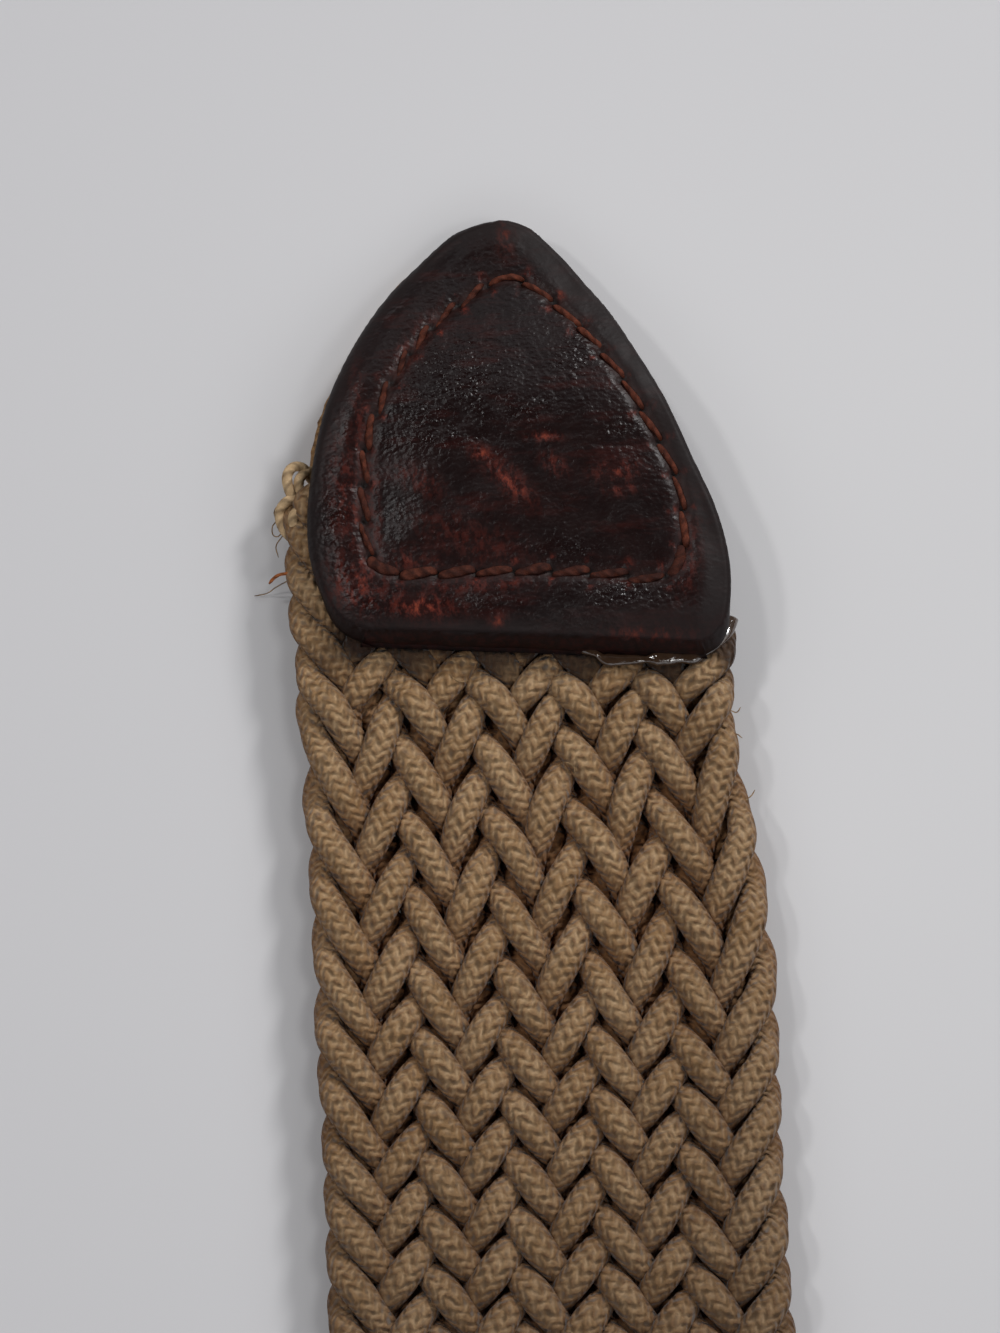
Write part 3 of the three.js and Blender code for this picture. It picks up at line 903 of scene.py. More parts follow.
def leather_top(x, y):
    """The front leather's height at places on it, and the values that its material uses there."""
    down = tip_down(x, y)
    left, right = tip_half(down, 1), tip_half(down, 2)
    across = np.clip((x + left) / (left + right), 0, 1)
    inset, _ = from_outline(x, y)
    off, number = from_stitches(x, y)
    z = leather_under(down) + FRONT_LEATHER + CROWN * (1 - (2 * across - 1) ** 2)
    to_right = smoothstep(across, 0.35, 0.65)
    radius = lerp(lerp(*EDGE_RADIUS, to_right), BASE_EDGE_RADIUS, smoothstep(down, 0.9, 0.98))
    short = np.clip(radius - inset, 0, radius)
    z = z - radius + np.sqrt(radius**2 - short**2)
    slope = lerp(EDGE_SLOPE[0], EDGE_SLOPE[1] * smoothstep(down, 0.0, 0.3), to_right)
    slope = slope * (1 - 0.6 * smoothstep(down, 0.85, 0.95))
    z = z - slope * (1 - smoothstep(inset, 0, EDGE_SLOPE_WIDTH)) * smoothstep(down, 0.0, 0.12)
    ends = np.cos(np.pi * number * LINE_STEP / STITCH_STEP) ** 20
    groove = np.exp(-((off / GROOVE_WIDTH) ** 2))
    z = z - (GROOVE_DEPTH + PUCKER_DEPTH * ends) * groove
    puff = smoothstep(off, 0.3, 4.0) * smoothstep(inset, 0.6, 2.4)
    z = z + PANEL_PUFF * puff
    inside = smoothstep(inset, 0.2, 1.2)
    z = z + inside * sum(height * noise(x, y, size, seed) for height, size, seed in LEATHER_WAVES)
    for middle, depth_down, length, depth in CREASES:
        line = TIP_POINT - depth_down + 0.3 * noise(x, 0 * x, 2.6, int(10 * depth_down))
        fade = np.clip(1 - ((x - middle) / length) ** 2, 0, 1)
        z = z - depth * fade * np.exp(-(((y - line) / 0.22) ** 2))
    torn = TORN * ends * np.exp(-(((off - 0.75) / 0.45) ** 2)) * (noise(x, y, 0.5, 6) > -0.2)
    scuff = np.maximum(marks(SCUFFS, x, y), torn)
    edge = 1 - smoothstep(inset, lerp(0.3, 1.0, to_right), lerp(1.6, 3.2, to_right))
    hole = ends * np.exp(-((off / 0.4) ** 2))
    polish = marks(POLISHED, x, y)
    return z, {"edge": edge, "groove": groove, "scuff": scuff, "hole": hole, "polish": polish}


def outward(side, sign):
    """The directions out of the tip along one of its sides, going down it."""
    along = np.gradient(side, axis=0)
    out = np.stack([-sign * along[:, 1], sign * along[:, 0]], axis=1)
    return out / np.linalg.norm(out, axis=1)[:, None]


def make_tip_front():
    sides = spline(TIP_SIDES, TIP_ROWS + 1)
    down = sides[:, :1]
    left, right = sides[:, 1:2] * TIP_WIDTH / 2, sides[:, 2:] * TIP_WIDTH / 2
    even = np.linspace(0, 1, TIP_COLUMNS + 1)
    across = lerp(even, (1 - np.cos(np.pi * even)) / 2, COLUMN_CROWDING)
    x = lerp(-left, right, across)
    y = tip_place(down, x) - POINT_ROUNDING * (2 * across - 1) ** 2 * (1 - smoothstep(down, 0, 0.04))
    z, values = leather_top(x, y)
    down = down[:, 0]
    under = leather_under(down)
    skirts = {1: RIGHT_SKIRT, -1: LEFT_SKIRT}
    foot = {sign: lerp(LIFT, under, smoothstep(down, *skirt)) for sign, skirt in skirts.items()}
    out = {sign: outward(np.stack([x[:, c], y[:, c]], axis=1), sign) for sign, c in ((1, -1), (-1, 0))}
    flare = WALL_BULGE + (BASE_FLARE - WALL_BULGE) * smoothstep(down, 0.9, 1)
    shares = np.arange(1, WALL_POINTS + 1) / WALL_POINTS
    sections = []
    for r in range(TIP_ROWS + 1):
        top = np.stack([x[r], y[r], z[r]], axis=1)
        walls = {}
        for sign in (1, -1):
            start = top[-1] if sign > 0 else top[0]
            points = np.repeat(start[None], WALL_POINTS, axis=0)
            points[:, :2] += flare[r] * np.sin(np.pi / 2 * shares)[:, None] * out[sign][r]
            points[:, 2] = lerp(start[2], foot[sign][r], shares)
            walls[sign] = points
        below = np.linspace(0, 1, UNDERSIDE_COLUMNS)[::-1, None]
        bottom = lerp(walls[-1][-1], walls[1][-1], below)[1:-1]
        bottom[:, 2] = under[r]
        sections.append(np.vstack([top, walls[1], bottom, walls[-1][::-1]]))
    tops = TIP_COLUMNS + 1
    last = sections[-1]
    to_end = np.minimum(last[:, 0] - last[:, 0].min(), last[:, 0].max() - last[:, 0])
    bend = np.exp(-to_end / CORNER_REACH)[:, None]
    aside = np.where(last[:, :1] > 0, out[1][-1], out[-1][-1])
    ragged = 1 + 0.12 * noise(last[:, 0], 0 * last[:, 0], 1.3, 8)[:, None]
    away = lerp(np.array([0.0, -1.0]), aside, bend) * ragged
    for k in range(1, BASE_WALL_ROWS + 1):
        share = k / BASE_WALL_ROWS
        section = last.copy()
        section[:tops, :2] += BASE_FLARE * math.sin(share * math.pi / 2) * away[:tops]
        section[tops:, :2] += 0.5 * BASE_FLARE * share * away[tops:]
        section[:tops, 2] = lerp(last[:tops, 2], under[-1] + 0.05, share)
        sections.append(section)
    size = len(last)
    verts = np.vstack(sections)
    faces = [face[::-1] for face in loft_faces(len(sections), size)]
    colours = {}
    for key, grid in values.items():
        full = np.full((len(sections), size), 1.0 if key == "edge" else 0.0)
        full[: TIP_ROWS + 1, :tops] = grid
        colours[key] = full.ravel()
    colours["scuff"][(TIP_ROWS + 1) * size :] = BASE_WALL_SCUFF
    piece = make_piece("tip_leather", verts, faces, LEATHER, colours=colours)
    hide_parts("tip_front")


make_tip_front()


# The tip's back layer, with its raw edge

BACK_OVERHANG = (0.3, 0.5, 0.8)
BACK_ROWS = 160
RAW_ROUGHNESS = 0.1


def make_tip_back():
    sides = spline(TIP_SIDES, BACK_ROWS + 1)
    down = sides[:, 0]
    half = TIP_WIDTH / 2
    left = sides[:, 1] * half
    right = sides[:, 2] * half
    sections, raw = [], []
    for r in range(BACK_ROWS + 1):
        fuzz = RAW_ROUGHNESS * noise(down[r] * TIP_LENGTH, 0, 0.5, 31)
        wide = lerp(*BACK_OVERHANG[1:], smoothstep(down[r], 0.25, 0.45))
        shown = smoothstep(down[r], 0.04, 0.1) * (1 - smoothstep(down[r], 0.52, 0.65))
        grow = lerp(BACK_OVERHANG[0], wide, shown) * (1 - 0.5 * smoothstep(down[r], 0.85, 1)) + fuzz
        grow_right = 0.4 * BACK_OVERHANG[0] + 0.3 * fuzz
        rise = BACK_OVERHANG[0] * (1 - smoothstep(down[r], 0, 0.08))
        ends = (-left[r] - grow, right[r] + grow_right)
        x = np.array([ends[0], ends[0] - 0.03, ends[0], lerp(*ends, 0.3), lerp(*ends, 0.7)])
        x = np.append(x, [ends[1], ends[1] + 0.03, ends[1], lerp(*ends, 0.7), lerp(*ends, 0.3)])
        z = np.array([BACK_TOP, BACK_TOP / 2, 0, 0, 0, 0, BACK_TOP / 2, BACK_TOP, BACK_TOP, BACK_TOP])
        sections.append(np.stack([x, tip_place(down[r], x) + rise, z], axis=1))
        tan = float(smoothstep(down[r], 0.04, 0.1) * (1 - smoothstep(down[r], 0.62, 0.72)))
        raw.append([tan, tan, tan * 0.5, 0, 0, 0, 0, 0, 0, 0])
    verts = np.vstack(sections)
    faces = loft_faces(len(sections), len(sections[0]))
    colours = {"edge": np.ravel(raw)}
    piece = make_piece("tip_backing", verts, faces, BACKING, smooth=False, colours=colours)
    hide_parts("tip_back")


make_tip_back()


# The stitches

# Each side's stitches: width, how fresh their colour is, and turn in degrees
BASE_STITCH = (0.72, 0.2, 11)
LEFT_STITCH = (0.46, 0.35, 14)
RIGHT_STITCH = (0.48, 0.55, 7)
BASE_STITCHES_FROM = 28
STITCH_WIDTH = 0.64
STITCH_HEIGHT = 0.36
STITCH_SHARE = 0.98
STITCH_WANDER = 0.15
STITCH_LUMPS = 0.32
STITCH_RISE = 0.02
STITCH_SINK = 0.5
STITCH_POINTS = 15
STITCH_LEVEL_SHARE = 0.6


def make_stitches():
    """Blunt stitches, thick along the base and thin on the right, that dive into the needle holes."""
    rng = np.random.default_rng(21)
    shares = np.linspace(-1, 1, STITCH_POINTS)
    steps = np.arange(len(STITCH_PATH))
    meshes, fresh = [], []
    for number in range(STITCH_COUNT):
        middle = (number + 0.5) * STITCH_STEP + rng.uniform(-0.06, 0.06)
        half = STITCH_STEP * STITCH_SHARE / 2 * rng.uniform(0.95, 1.03)
        places = (middle + half * shares) / LINE_STEP
        line = np.stack([np.interp(places, steps, row) for row in STITCH_PATH.T])
        centre = line[:, [STITCH_POINTS // 2]]
        if TIP_POINT - centre[1, 0] > BASE_STITCHES_FROM:
            wide, tone, turn = BASE_STITCH
        elif centre[0, 0] > 0:
            wide, tone, turn = RIGHT_STITCH
        else:
            wide, tone, turn = LEFT_STITCH
        turn = math.radians(turn + rng.uniform(-4, 4))
        c, s = math.cos(turn), math.sin(turn)
        x, y = np.array([[c, -s], [s, c]]) @ (line - centre) + centre
        aside = rng.uniform(-STITCH_WANDER, STITCH_WANDER)
        x, y = x + aside * s, y + aside * c
        z, _ = leather_top(x, y)
        level = z[np.abs(shares) < STITCH_LEVEL_SHARE].mean()
        level += GROOVE_DEPTH * 0.3 * wide / BASE_STITCH[0]
        z = level + STITCH_RISE * (1 - shares**2) - STITCH_SINK * np.abs(shares) ** 9
        lumps = 1 + STITCH_LUMPS * noise(number + 0.5 + 0 * shares, 3 * shares, 1.0, 22)
        width = wide * (1 - 0.3 * np.abs(shares) ** 6) * rng.uniform(0.85, 1.1) * lumps
        meshes.append(tube_mesh(np.stack([x, y, z], axis=1), width, STITCH_HEIGHT, 12))
        fresh += [tone + rng.uniform(-0.12, 0.12)] * len(meshes[-1][0])
    verts, faces, uvs = join_meshes(meshes)
    make_piece("tip_stitches", verts, faces, STITCH_THREAD, uvs, colours={"fresh": fresh})


make_stitches()


# Loose threads at the strap's left side, and the glue along the leather's base

YARN_WIDTH = 0.8
THREAD_WIDTH = 0.26
HAIR_WIDTH = 0.09
BEAD_WIDTH = 1.1
BEAD_HEIGHT = 0.6

# Each path's points: x, how far down from the tip's point, height
YARN_LOOPS = (
    ((-15.2, 21.6, 2.2), (-16.2, 21.7, 2.7), (-16.8, 21.3, 3.2), (-17.1, 20.5, 3.5), (-17.1, 19.7, 3.6),
     (-16.7, 19.1, 3.5), (-16.1, 19.0, 3.2), (-15.6, 19.4, 2.8), (-15.2, 20.2, 2.3)),
    ((-15.3, 19.0, 2.6), (-16.1, 19.8, 3.3), (-16.3, 20.6, 3.4), (-16.0, 21.4, 3.1), (-15.2, 21.9, 2.5)),
    ((-15.4, 21.7, 2.6), (-16.5, 21.5, 3.2), (-17.3, 21.7, 3.2), (-17.8, 22.3, 2.9), (-17.8, 23.1, 2.7),
     (-17.5, 23.8, 2.5), (-16.9, 24.4, 2.3), (-15.8, 25.0, 2.1)),
    ((-15.4, 22.0, 3.1), (-16.3, 22.5, 3.7), (-16.8, 23.1, 3.6), (-16.7, 23.9, 3.2), (-16.1, 24.6, 2.6)),
)
FINE_CURLS = (
    ((-17.4, 21.7, 2.9), (-18.0, 21.8, 2.6), (-18.3, 22.2, 2.3), (-18.2, 22.8, 2.1), (-18.5, 23.2, 1.9),
     (-18.5, 23.8, 1.8), (-18.1, 24.0, 1.9), (-17.8, 23.6, 2.1), (-18.0, 23.1, 2.4), (-17.6, 22.6, 2.6)),
    ((-17.0, 27.4, 2.2), (-18.3, 27.7, 1.2), (-19.2, 28.0, 0.4), (-20.2, 28.1, 0.15)),
    ((-17.6, 23.9, 2.2), (-18.3, 24.6, 1.5), (-18.2, 25.4, 1.0)),
    ((14.8, 39.4, 2.6), (15.6, 39.7, 2.2), (16.0, 39.2, 1.6)),
    ((14.6, 42.1, 3.0), (15.4, 41.5, 2.8), (15.9, 41.7, 2.3)),
    ((15.2, 46.9, 2.9), (16.2, 46.2, 2.4), (16.6, 45.6, 1.8)),
    ((-5.6, 36.2, 4.7), (-5.0, 36.9, 5.2), (-4.2, 36.8, 4.9)),
    ((2.4, 43.2, 4.3), (3.1, 43.6, 4.8), (3.3, 44.3, 4.4)),
)
LOOSE_ENDS = (
    ((-15.3, 28.3, 3.1), (-16.1, 28.0, 3.6), (-16.9, 27.5, 3.6), (-17.9, 27.3, 3.0), (-18.5, 27.4, 2.4),
     (-18.9, 27.7, 2.0)),
    ((-15.4, 27.3, 3.0), (-16.2, 27.6, 3.7), (-15.9, 28.2, 3.8), (-15.3, 28.5, 3.2)),
    ((-15.3, 28.0, 3.3), (-15.9, 28.7, 3.6), (-16.0, 29.6, 3.2)),
)
GLUE_BEAD = ((4.6, 34.7, 4.7), (5.4, 35.3, 4.9), (6.2, 35.8, 4.9), (8.7, 35.9, 4.9), (10.9, 35.9, 4.8),
             (12.5, 35.9, 4.6), (13.4, 35.6, 4.4), (14.5, 34.8, 4.0), (15.3, 33.6, 3.4), (15.7, 32.6, 2.8))


def threads(paths, width, sides):
    """Thin tubes along paths that are given as x, how far down and height."""
    meshes = []
    for path in paths:
        points = np.array(path)
        points[:, 1] = TIP_POINT - points[:, 1]
        line = spline(points, 7 * len(points))
        ends = np.minimum(np.arange(len(line)), np.arange(len(line))[::-1])
        taper = width * (0.6 + 0.4 * smoothstep(ends, 0, 4))
        meshes.append(tube_mesh(line, taper, taper, sides))
    return join_meshes(meshes)


def make_loose_threads():
    for name, paths, width, material, fresh in (
        ("yarn_loops", YARN_LOOPS, YARN_WIDTH, YARN, 0.8),
        ("fine_curls", FINE_CURLS, HAIR_WIDTH, YARN, 0.3),
        ("loose_ends", LOOSE_ENDS, THREAD_WIDTH, LOOSE_THREAD, 0.8),
    ):
        verts, faces, uvs = threads(paths, width, 8)
        make_piece(name, verts, faces, material, uvs, colours={"fresh": [fresh] * len(verts)})


def make_glue():
    points = np.array(GLUE_BEAD)
    points[:, 1] = TIP_POINT - points[:, 1]
    line = spline(points, 120)
    swell = 0.8 + 0.4 * noise(line[:, 0], 0 * line[:, 0], 0.9, 51)
    verts, faces, uvs = tube_mesh(line, BEAD_WIDTH * swell, BEAD_HEIGHT * swell, 12)
    make_piece("glue_bead", verts, faces, GLUE, uvs)


make_loose_threads()
make_glue()


# The buckle's tab: one strip of leather folded round the bar, with a slot for the tongue

TAB_LEATHER = 1.6
TAB_LENGTH = 38
TAB_SLOPE = 6
TAB_CORNER = 7
TAB_ROUNDING = 0.55
SLOT_DEPTH = 8
SLOT_HALF = 3.5
BUCKLE_LENGTH = 30
BAR_RADIUS = 1.6
BUCKLE_CORNER = 4
FOLD_RADIUS = BAR_RADIUS + SEAM_GAP + TAB_LEATHER / 2
BAR_HEIGHT = BAR_RADIUS + SEAM_GAP + TAB_LEATHER
TAB_BAR = TAB_END - TAB_LENGTH
UPPER_LEVEL = TAB_LEATHER + SEAM_GAP + PRESSED_THICKNESS + SEAM_GAP + TAB_LEATHER / 2
TAB_STEP = 0.4
TAB_COLUMNS = 72
TAB_STITCH_INSET = 3.0
TAB_STITCH_PITCH = 3.0
TAB_GROOVE = 0.15
TAB_FRESHNESS = 0.6


def tab_line():
    """The strip seen from the side, from its lower end round the bar to its upper end: y, z."""
    angles = np.linspace(-np.pi / 2, np.pi / 2, 40)[1:-1]
    fold_y = TAB_BAR - FOLD_RADIUS * np.cos(angles)
    fold_z = BAR_HEIGHT + FOLD_RADIUS * np.sin(angles)
    slope = np.linspace(0, 1, 12)
    slope_z = lerp(BAR_HEIGHT + FOLD_RADIUS, UPPER_LEVEL, smoothstep(slope, 0, 1))
    y = np.concatenate([[TAB_END, TAB_BAR], fold_y, TAB_BAR + slope * TAB_SLOPE, [TAB_END]])
    z = np.concatenate([[TAB_LEATHER / 2] * 2, fold_z, slope_z, [UPPER_LEVEL]])
    return even_path(np.stack([y, z], axis=1), TAB_STEP)


TAB_LINE = tab_line()
TAB_RUN = (len(TAB_LINE) - 1) * TAB_STEP
TAB_FOLD = TAB_LENGTH + math.pi * FOLD_RADIUS / 2


def tab_inset(run, x):
    """How far places on the strip are in from its nearest edge, the slot's edge counted too."""
    half = STRAP_WIDTH / 2
    from_end = np.minimum(run, TAB_RUN - run)
    corner_x = np.maximum(np.abs(x) - (half - TAB_CORNER), 0)
    corner_y = np.maximum(TAB_CORNER - from_end, 0)
    inset = np.minimum(TAB_CORNER - np.hypot(corner_x, corner_y), np.minimum(half - np.abs(x), from_end))
    beside = np.abs(x) - SLOT_HALF
    past = np.abs(run - TAB_FOLD) - (SLOT_DEPTH + math.pi * FOLD_RADIUS / 2)
    from_slot = np.hypot(np.maximum(beside, 0), np.maximum(past, 0))
    return np.maximum(np.minimum(inset, from_slot), 0)


def tab_stitch_path():
    """The stitching's path on the strip's upper part: run along the strip, then x."""
    half = STRAP_WIDTH / 2 - TAB_STITCH_INSET
    start = TAB_FOLD + SLOT_DEPTH + math.pi * FOLD_RADIUS / 2 + 3
    end = TAB_RUN - TAB_STITCH_INSET
    bend = TAB_CORNER - TAB_STITCH_INSET
    angles = np.linspace(0, np.pi / 2, 9)
    right = np.stack([end - bend + bend * np.sin(angles), half - bend + bend * np.cos(angles)], axis=1)
    left = right[::-1] * (1, -1)
    around = np.vstack([[(start, half)], right, left, [(start, -half)], [(start, half)]])
    return even_path(around, LINE_STEP)


TAB_STITCHES = tab_stitch_path()
from_tab_stitches = nearest(TAB_STITCHES)


def tab_place(run, x, off):
    """Places at a height off the strip's middle, on its upper or outer side where off is positive."""
    steps = np.arange(len(TAB_LINE))
    along = np.gradient(TAB_LINE, axis=0)
    along /= np.linalg.norm(along, axis=1)[:, None]
    at = np.asarray(run) / TAB_STEP
    y, z, ty, tz = (np.interp(at, steps, column_of) for column_of in (*TAB_LINE.T, *along.T))
    shape = np.broadcast(run, x).shape
    return np.stack([np.broadcast_to(part, shape) for part in (x, y - tz * off, z + ty * off)], axis=-1)


def make_tab():
    slot_half_run = SLOT_DEPTH + math.pi * FOLD_RADIUS / 2
    bounds = (0, TAB_FOLD - slot_half_run, TAB_FOLD + slot_half_run, TAB_RUN)
    runs = [0.0]
    for start, end in zip(bounds, bounds[1:]):
        share = np.linspace(0, 1, int((end - start) / TAB_STEP) + 1)[1:]
        runs += list(lerp(start, end, lerp(share, (1 - np.cos(np.pi * share)) / 2, 0.5)))
    run = np.array(runs)[:, None]
    beside = np.linspace(0, 1, TAB_COLUMNS // 2 - 6)
    beside = lerp(beside, (1 - np.cos(np.pi * beside)) / 2, 0.7)
    middle = np.linspace(-SLOT_HALF, SLOT_HALF, 13)[1:-1]
    half = STRAP_WIDTH / 2
    columns = np.concatenate([lerp(-half, -SLOT_HALF, beside), middle, lerp(SLOT_HALF, half, beside)])
    from_end = np.minimum(run, TAB_RUN - run)
    short = np.clip(TAB_CORNER - from_end, 0, TAB_CORNER)
    room = half - TAB_CORNER + np.sqrt(TAB_CORNER**2 - short**2)
    x = columns[None, :] * room / half
    full_run = np.broadcast_to(run, x.shape)
    inset = tab_inset(full_run, x)
    thin = np.clip(1 - inset / TAB_ROUNDING, 0, 1)
    thickness = TAB_LEATHER / 2 * np.sqrt(1 - thin**2)
    off, _ = from_tab_stitches(full_run, x)
    groove = np.exp(-((off / GROOVE_WIDTH) ** 2)) * (full_run > TAB_FOLD)
    texture = 0.05 * noise(full_run, x, 3.1, 41) * smoothstep(inset, 0, 1)
    outer = tab_place(full_run, x, thickness + texture - TAB_GROOVE * groove)
    inner = tab_place(full_run, x, -thickness)
    rows, wide = x.shape
    size = rows * wide
    faces = []
    for r in range(rows - 1):
        in_slot = abs((runs[r] + runs[r + 1]) / 2 - TAB_FOLD) < slot_half_run
        for c in range(wide - 1):
            if in_slot and abs(columns[c] + columns[c + 1]) / 2 < SLOT_HALF:
                continue
            a, b = r * wide + c, (r + 1) * wide + c
            faces.append((a, a + 1, b + 1, b))
            faces.append((size + a, size + b, size + b + 1, size + a + 1))
    edge = 1 - smoothstep(inset, 0.3, 1.3)
    colours = {
        "edge": np.concatenate([edge.ravel(), edge.ravel()]),
        "groove": np.concatenate([groove.ravel(), 0 * groove.ravel()]),
    }
    verts = np.vstack([outer.reshape(-1, 3), inner.reshape(-1, 3)])
    piece = make_piece("tab_leather", verts, faces, LEATHER, colours=colours)
    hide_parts("buckle_tab")

    length = (len(TAB_STITCHES) - 1) * LINE_STEP
    count = int(length / TAB_STITCH_PITCH)
    shares = np.linspace(-1, 1, 9)
    meshes = []
    for number in range(count):
        places = ((number + 0.5) / count * length + TAB_STITCH_PITCH * 0.45 * shares) / LINE_STEP
        steps = np.arange(len(TAB_STITCHES))
        line = [np.interp(places, steps, TAB_STITCHES[:, k]) for k in (0, 1)]
        height = TAB_LEATHER / 2 + 0.05 * (1 - shares**2) - STITCH_SINK * np.abs(shares) ** 5
        width = STITCH_WIDTH * (1 - 0.5 * np.abs(shares) ** 3)
        meshes.append(tube_mesh(tab_place(*line, height), width, STITCH_HEIGHT, 8))
    verts, faces, uvs = join_meshes(meshes)
    fresh = [TAB_FRESHNESS] * len(verts)
    make_piece("tab_stitches", verts, faces, STITCH_THREAD, uvs, colours={"fresh": fresh})


make_tab()


# The buckle, closed

TONGUE_RADIUS = 1.3
KNUCKLE_RADIUS = 2.3
KNUCKLE_WIDTH = 4
ARCH_HEIGHT = BAR_HEIGHT + KNUCKLE_RADIUS
REST_HEIGHT = 2 * BAR_RADIUS + TONGUE_RADIUS
FAR_BAR = TAB_BAR - BUCKLE_LENGTH
TONGUE_POINTS = 60
ROUNDED_POINTS = 3

# The knuckle's width along the bar: place in shares of half its length, share of its width
KNUCKLE_PROFILE = ((-1, 0.86), (-0.94, 0.96), (-0.85, 1), (0.85, 1), (0.94, 0.96), (1, 0.86))


def make_buckle():
    half = BUCKLE_HALF - BAR_RADIUS
    corners = (
        (half - BUCKLE_CORNER, FAR_BAR + BUCKLE_CORNER, -90),
        (half - BUCKLE_CORNER, TAB_BAR - BUCKLE_CORNER, 0),
        (BUCKLE_CORNER - half, TAB_BAR - BUCKLE_CORNER, 90),
        (BUCKLE_CORNER - half, FAR_BAR + BUCKLE_CORNER, 180),
    )
    line = []
    for x, y, start in corners:
        angles = np.radians(start + np.linspace(0, 90, 13))
        turn = np.stack([np.cos(angles), np.sin(angles)], axis=1)
        line.append(np.array([x, y]) + BUCKLE_CORNER * turn)
    line = np.vstack(line)
    height = np.interp(line[:, 1], (FAR_BAR, TAB_BAR), (BAR_RADIUS, BAR_HEIGHT))
    path = np.column_stack([line, height])
    verts, faces, uvs = tube_mesh(path, 2 * BAR_RADIUS, 2 * BAR_RADIUS, 28, closed=True)
    frame_piece = make_piece("buckle_frame", verts, faces, METAL, uvs)

    guides = (
        (0, TAB_BAR, BAR_HEIGHT),
        (0, TAB_BAR - 0.2 * BUCKLE_LENGTH, ARCH_HEIGHT),
        (0, TAB_BAR - 0.6 * BUCKLE_LENGTH, ARCH_HEIGHT),
        (0, FAR_BAR - 1, REST_HEIGHT - 0.25),
    )
    path = spline(guides, TONGUE_POINTS)
    taper = lerp(1.0, 0.85, smoothstep(np.linspace(0, 1, TONGUE_POINTS), 0.3, 1))
    into_tip = np.maximum(np.arange(TONGUE_POINTS) - (TONGUE_POINTS - ROUNDED_POINTS), 0)
    tip = np.sqrt(1 - (into_tip / (ROUNDED_POINTS + 0.2)) ** 2)
    width = 2 * TONGUE_RADIUS * taper * tip
    tongue = tube_mesh(path, width, width, 20)
    along_bar, share = np.array(KNUCKLE_PROFILE).T
    spindle = [(x, TAB_BAR, BAR_HEIGHT) for x in along_bar * KNUCKLE_WIDTH / 2]
    width = 2 * KNUCKLE_RADIUS * share
    knuckle = tube_mesh(spindle, width, width, 32)
    verts, faces, uvs = join_meshes([tongue, knuckle])
    tongue_piece = make_piece("buckle_tongue", verts, faces, METAL, uvs)
    for piece in (frame_piece, tongue_piece):
        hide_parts("buckle")


make_buckle()


# The floor, the lights and the surroundings

FLOOR_SIZE = 3.0
# The middle of a pool of light painted on the floor.
FLOOR_LIGHT_POOL_CENTRE = (0.035, 0.475, 0)


def add_floor():
    n = Nodes("floor")
    place = n.place()
    cloud = n.noise(9, 3, 0.5, place)
    tone = n.mix(n.ramp(cloud, 0.3, 0.7), srgb(208, 207, 208), srgb(212, 211, 212))
    away = n.add("VectorMath", {0: place, 1: FLOOR_LIGHT_POOL_CENTRE}, operation="DISTANCE").outputs["Value"]
    # Painted pool of light: the floor darkens away from its middle.
    tone = n.mix(n.ramp(away, 0.02, 0.11, 0.0, 1.0), tone, srgb(196, 195, 197))
    material = n.finish(Base_Color=tone, Roughness=0.55, Specular_IOR_Level=0.3)
    half = FLOOR_SIZE / 2
    mesh = bpy.data.meshes.new("floor")
    corners = [(-half, -half, 0), (half, -half, 0), (half, half, 0), (-half, half, 0)]
    mesh.from_pydata(corners, [], [(0, 1, 2, 3)])
    mesh.materials.append(material)
    floor = bpy.data.objects.new("floor", mesh)
    bpy.context.scene.collection.objects.link(floor)


def add_light(name, place, target, size, power):
    data = bpy.data.lights.new(name, "AREA")
    data.shape = "DISK"
    data.size = size
    data.energy = power
    light = bpy.data.objects.new(name, data)
    bpy.context.scene.collection.objects.link(light)
    light.location = place
    aim = Vector(target) - Vector(place)
    light.rotation_euler = aim.to_track_quat("-Z", "Y").to_euler()


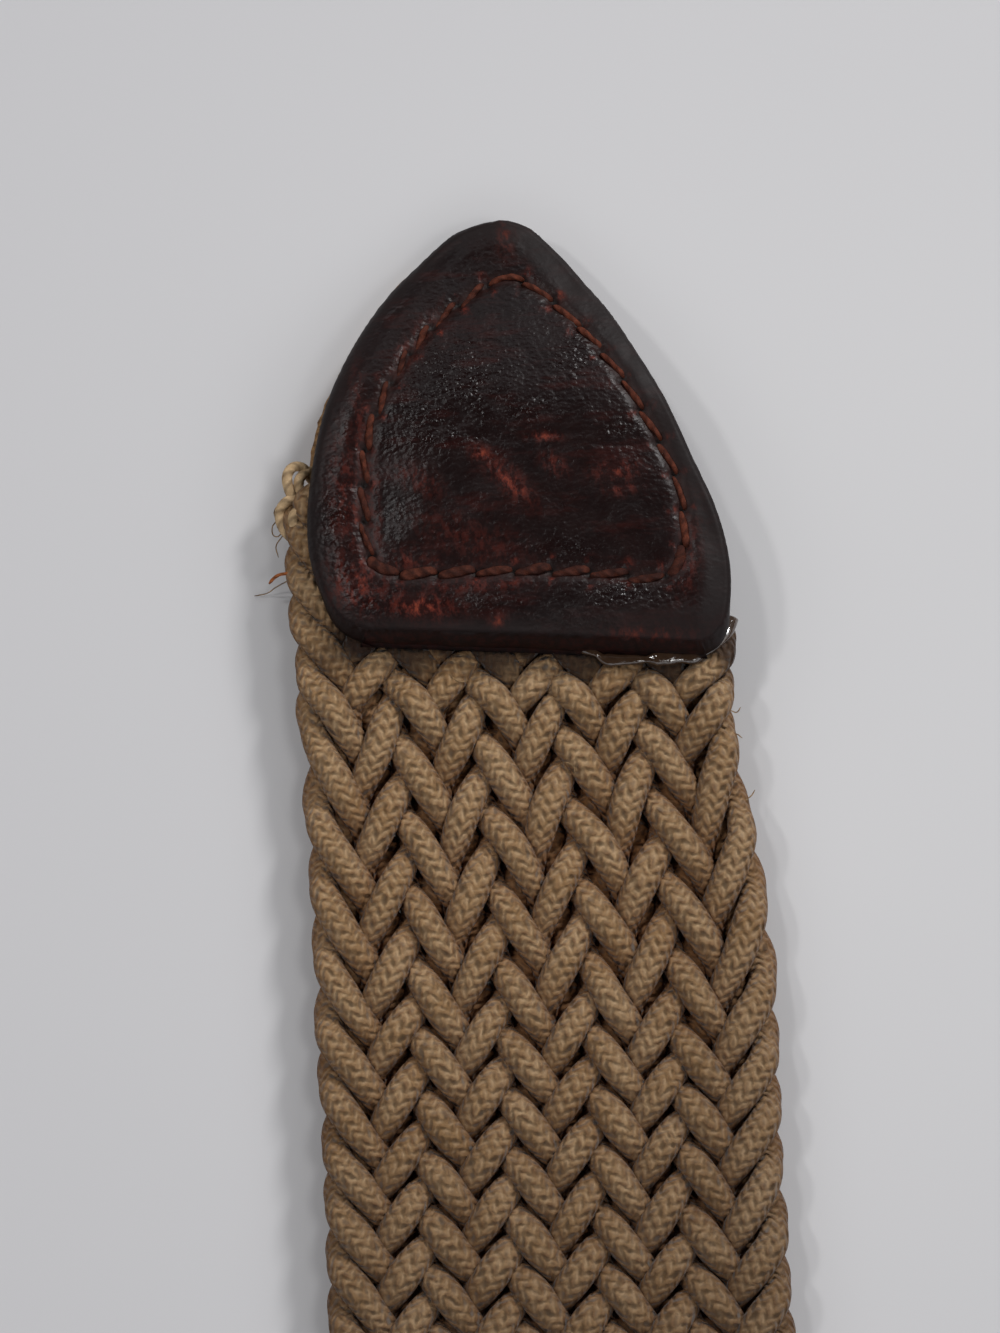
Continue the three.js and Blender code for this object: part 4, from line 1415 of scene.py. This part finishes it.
def add_world():
    """A room that is bright at half height, and dim near the horizon and overhead."""
    world = bpy.data.worlds.new("room")
    bpy.context.scene.world = world
    world.use_nodes = True
    tree = world.node_tree
    background = tree.nodes["Background"]
    where = tree.nodes.new("ShaderNodeTexCoord")
    parts = tree.nodes.new("ShaderNodeSeparateXYZ")
    ramp = tree.nodes.new("ShaderNodeValToRGB")
    stops = ramp.color_ramp.elements
    for position, _ in ROOM_LIGHT[2:]:
        stops.new(position)
    for stop, (position, light) in zip(stops, ROOM_LIGHT):
        stop.position = position
        stop.color = (light, light, light, 1)
    aside = tree.nodes.new("ShaderNodeMapRange")
    for number, value in enumerate(ROOM_RIGHT, start=1):
        aside.inputs[number].default_value = value
    tree.links.new(parts.outputs[0], aside.inputs[0])
    strength = tree.nodes.new("ShaderNodeMath")
    strength.operation = "MULTIPLY"
    tree.links.new(aside.outputs[0], strength.inputs[1])
    tree.links.new(where.outputs["Generated"], parts.inputs[0])
    tree.links.new(parts.outputs[2], ramp.inputs[0])
    tree.links.new(ramp.outputs[0], strength.inputs[0])
    tree.links.new(strength.outputs[0], background.inputs["Strength"])
    background.inputs["Color"].default_value = (0.96, 0.97, 1.0, 1)


# How bright the room is at each height, from the horizon at 0 to straight up at 1
ROOM_LIGHT = ((0.0, 0.08), (0.34, 0.2), (0.5, 1.8), (0.63, 1.7), (0.78, 0.02))
# How the room brightens towards the right: from one sideways direction to another, its shares
ROOM_RIGHT = (-0.6, 0.5, 0.42, 0.76)

# The lights, in metres and watts: name, place, target, size, power
LIGHTS = (
    ("key", (0.62, 1.22, 0.61), (0, 0.47, 0), 0.2, 6.5),
    ("upper", (0.45, 0.05, 1.05), (0, 0.47, 0), 0.3, 1.8),
    ("window", (-0.5, 1.0, 1.05), (0, 0.49, 0), 0.12, 2.0),
    ("left", (-0.62, 0.6, 0.85), (0, 0.49, 0), 0.1, 1.5),
)

add_floor()
add_world()
for light in LIGHTS:
    add_light(*light)
bpy.context.scene.view_settings.view_transform = "Standard"
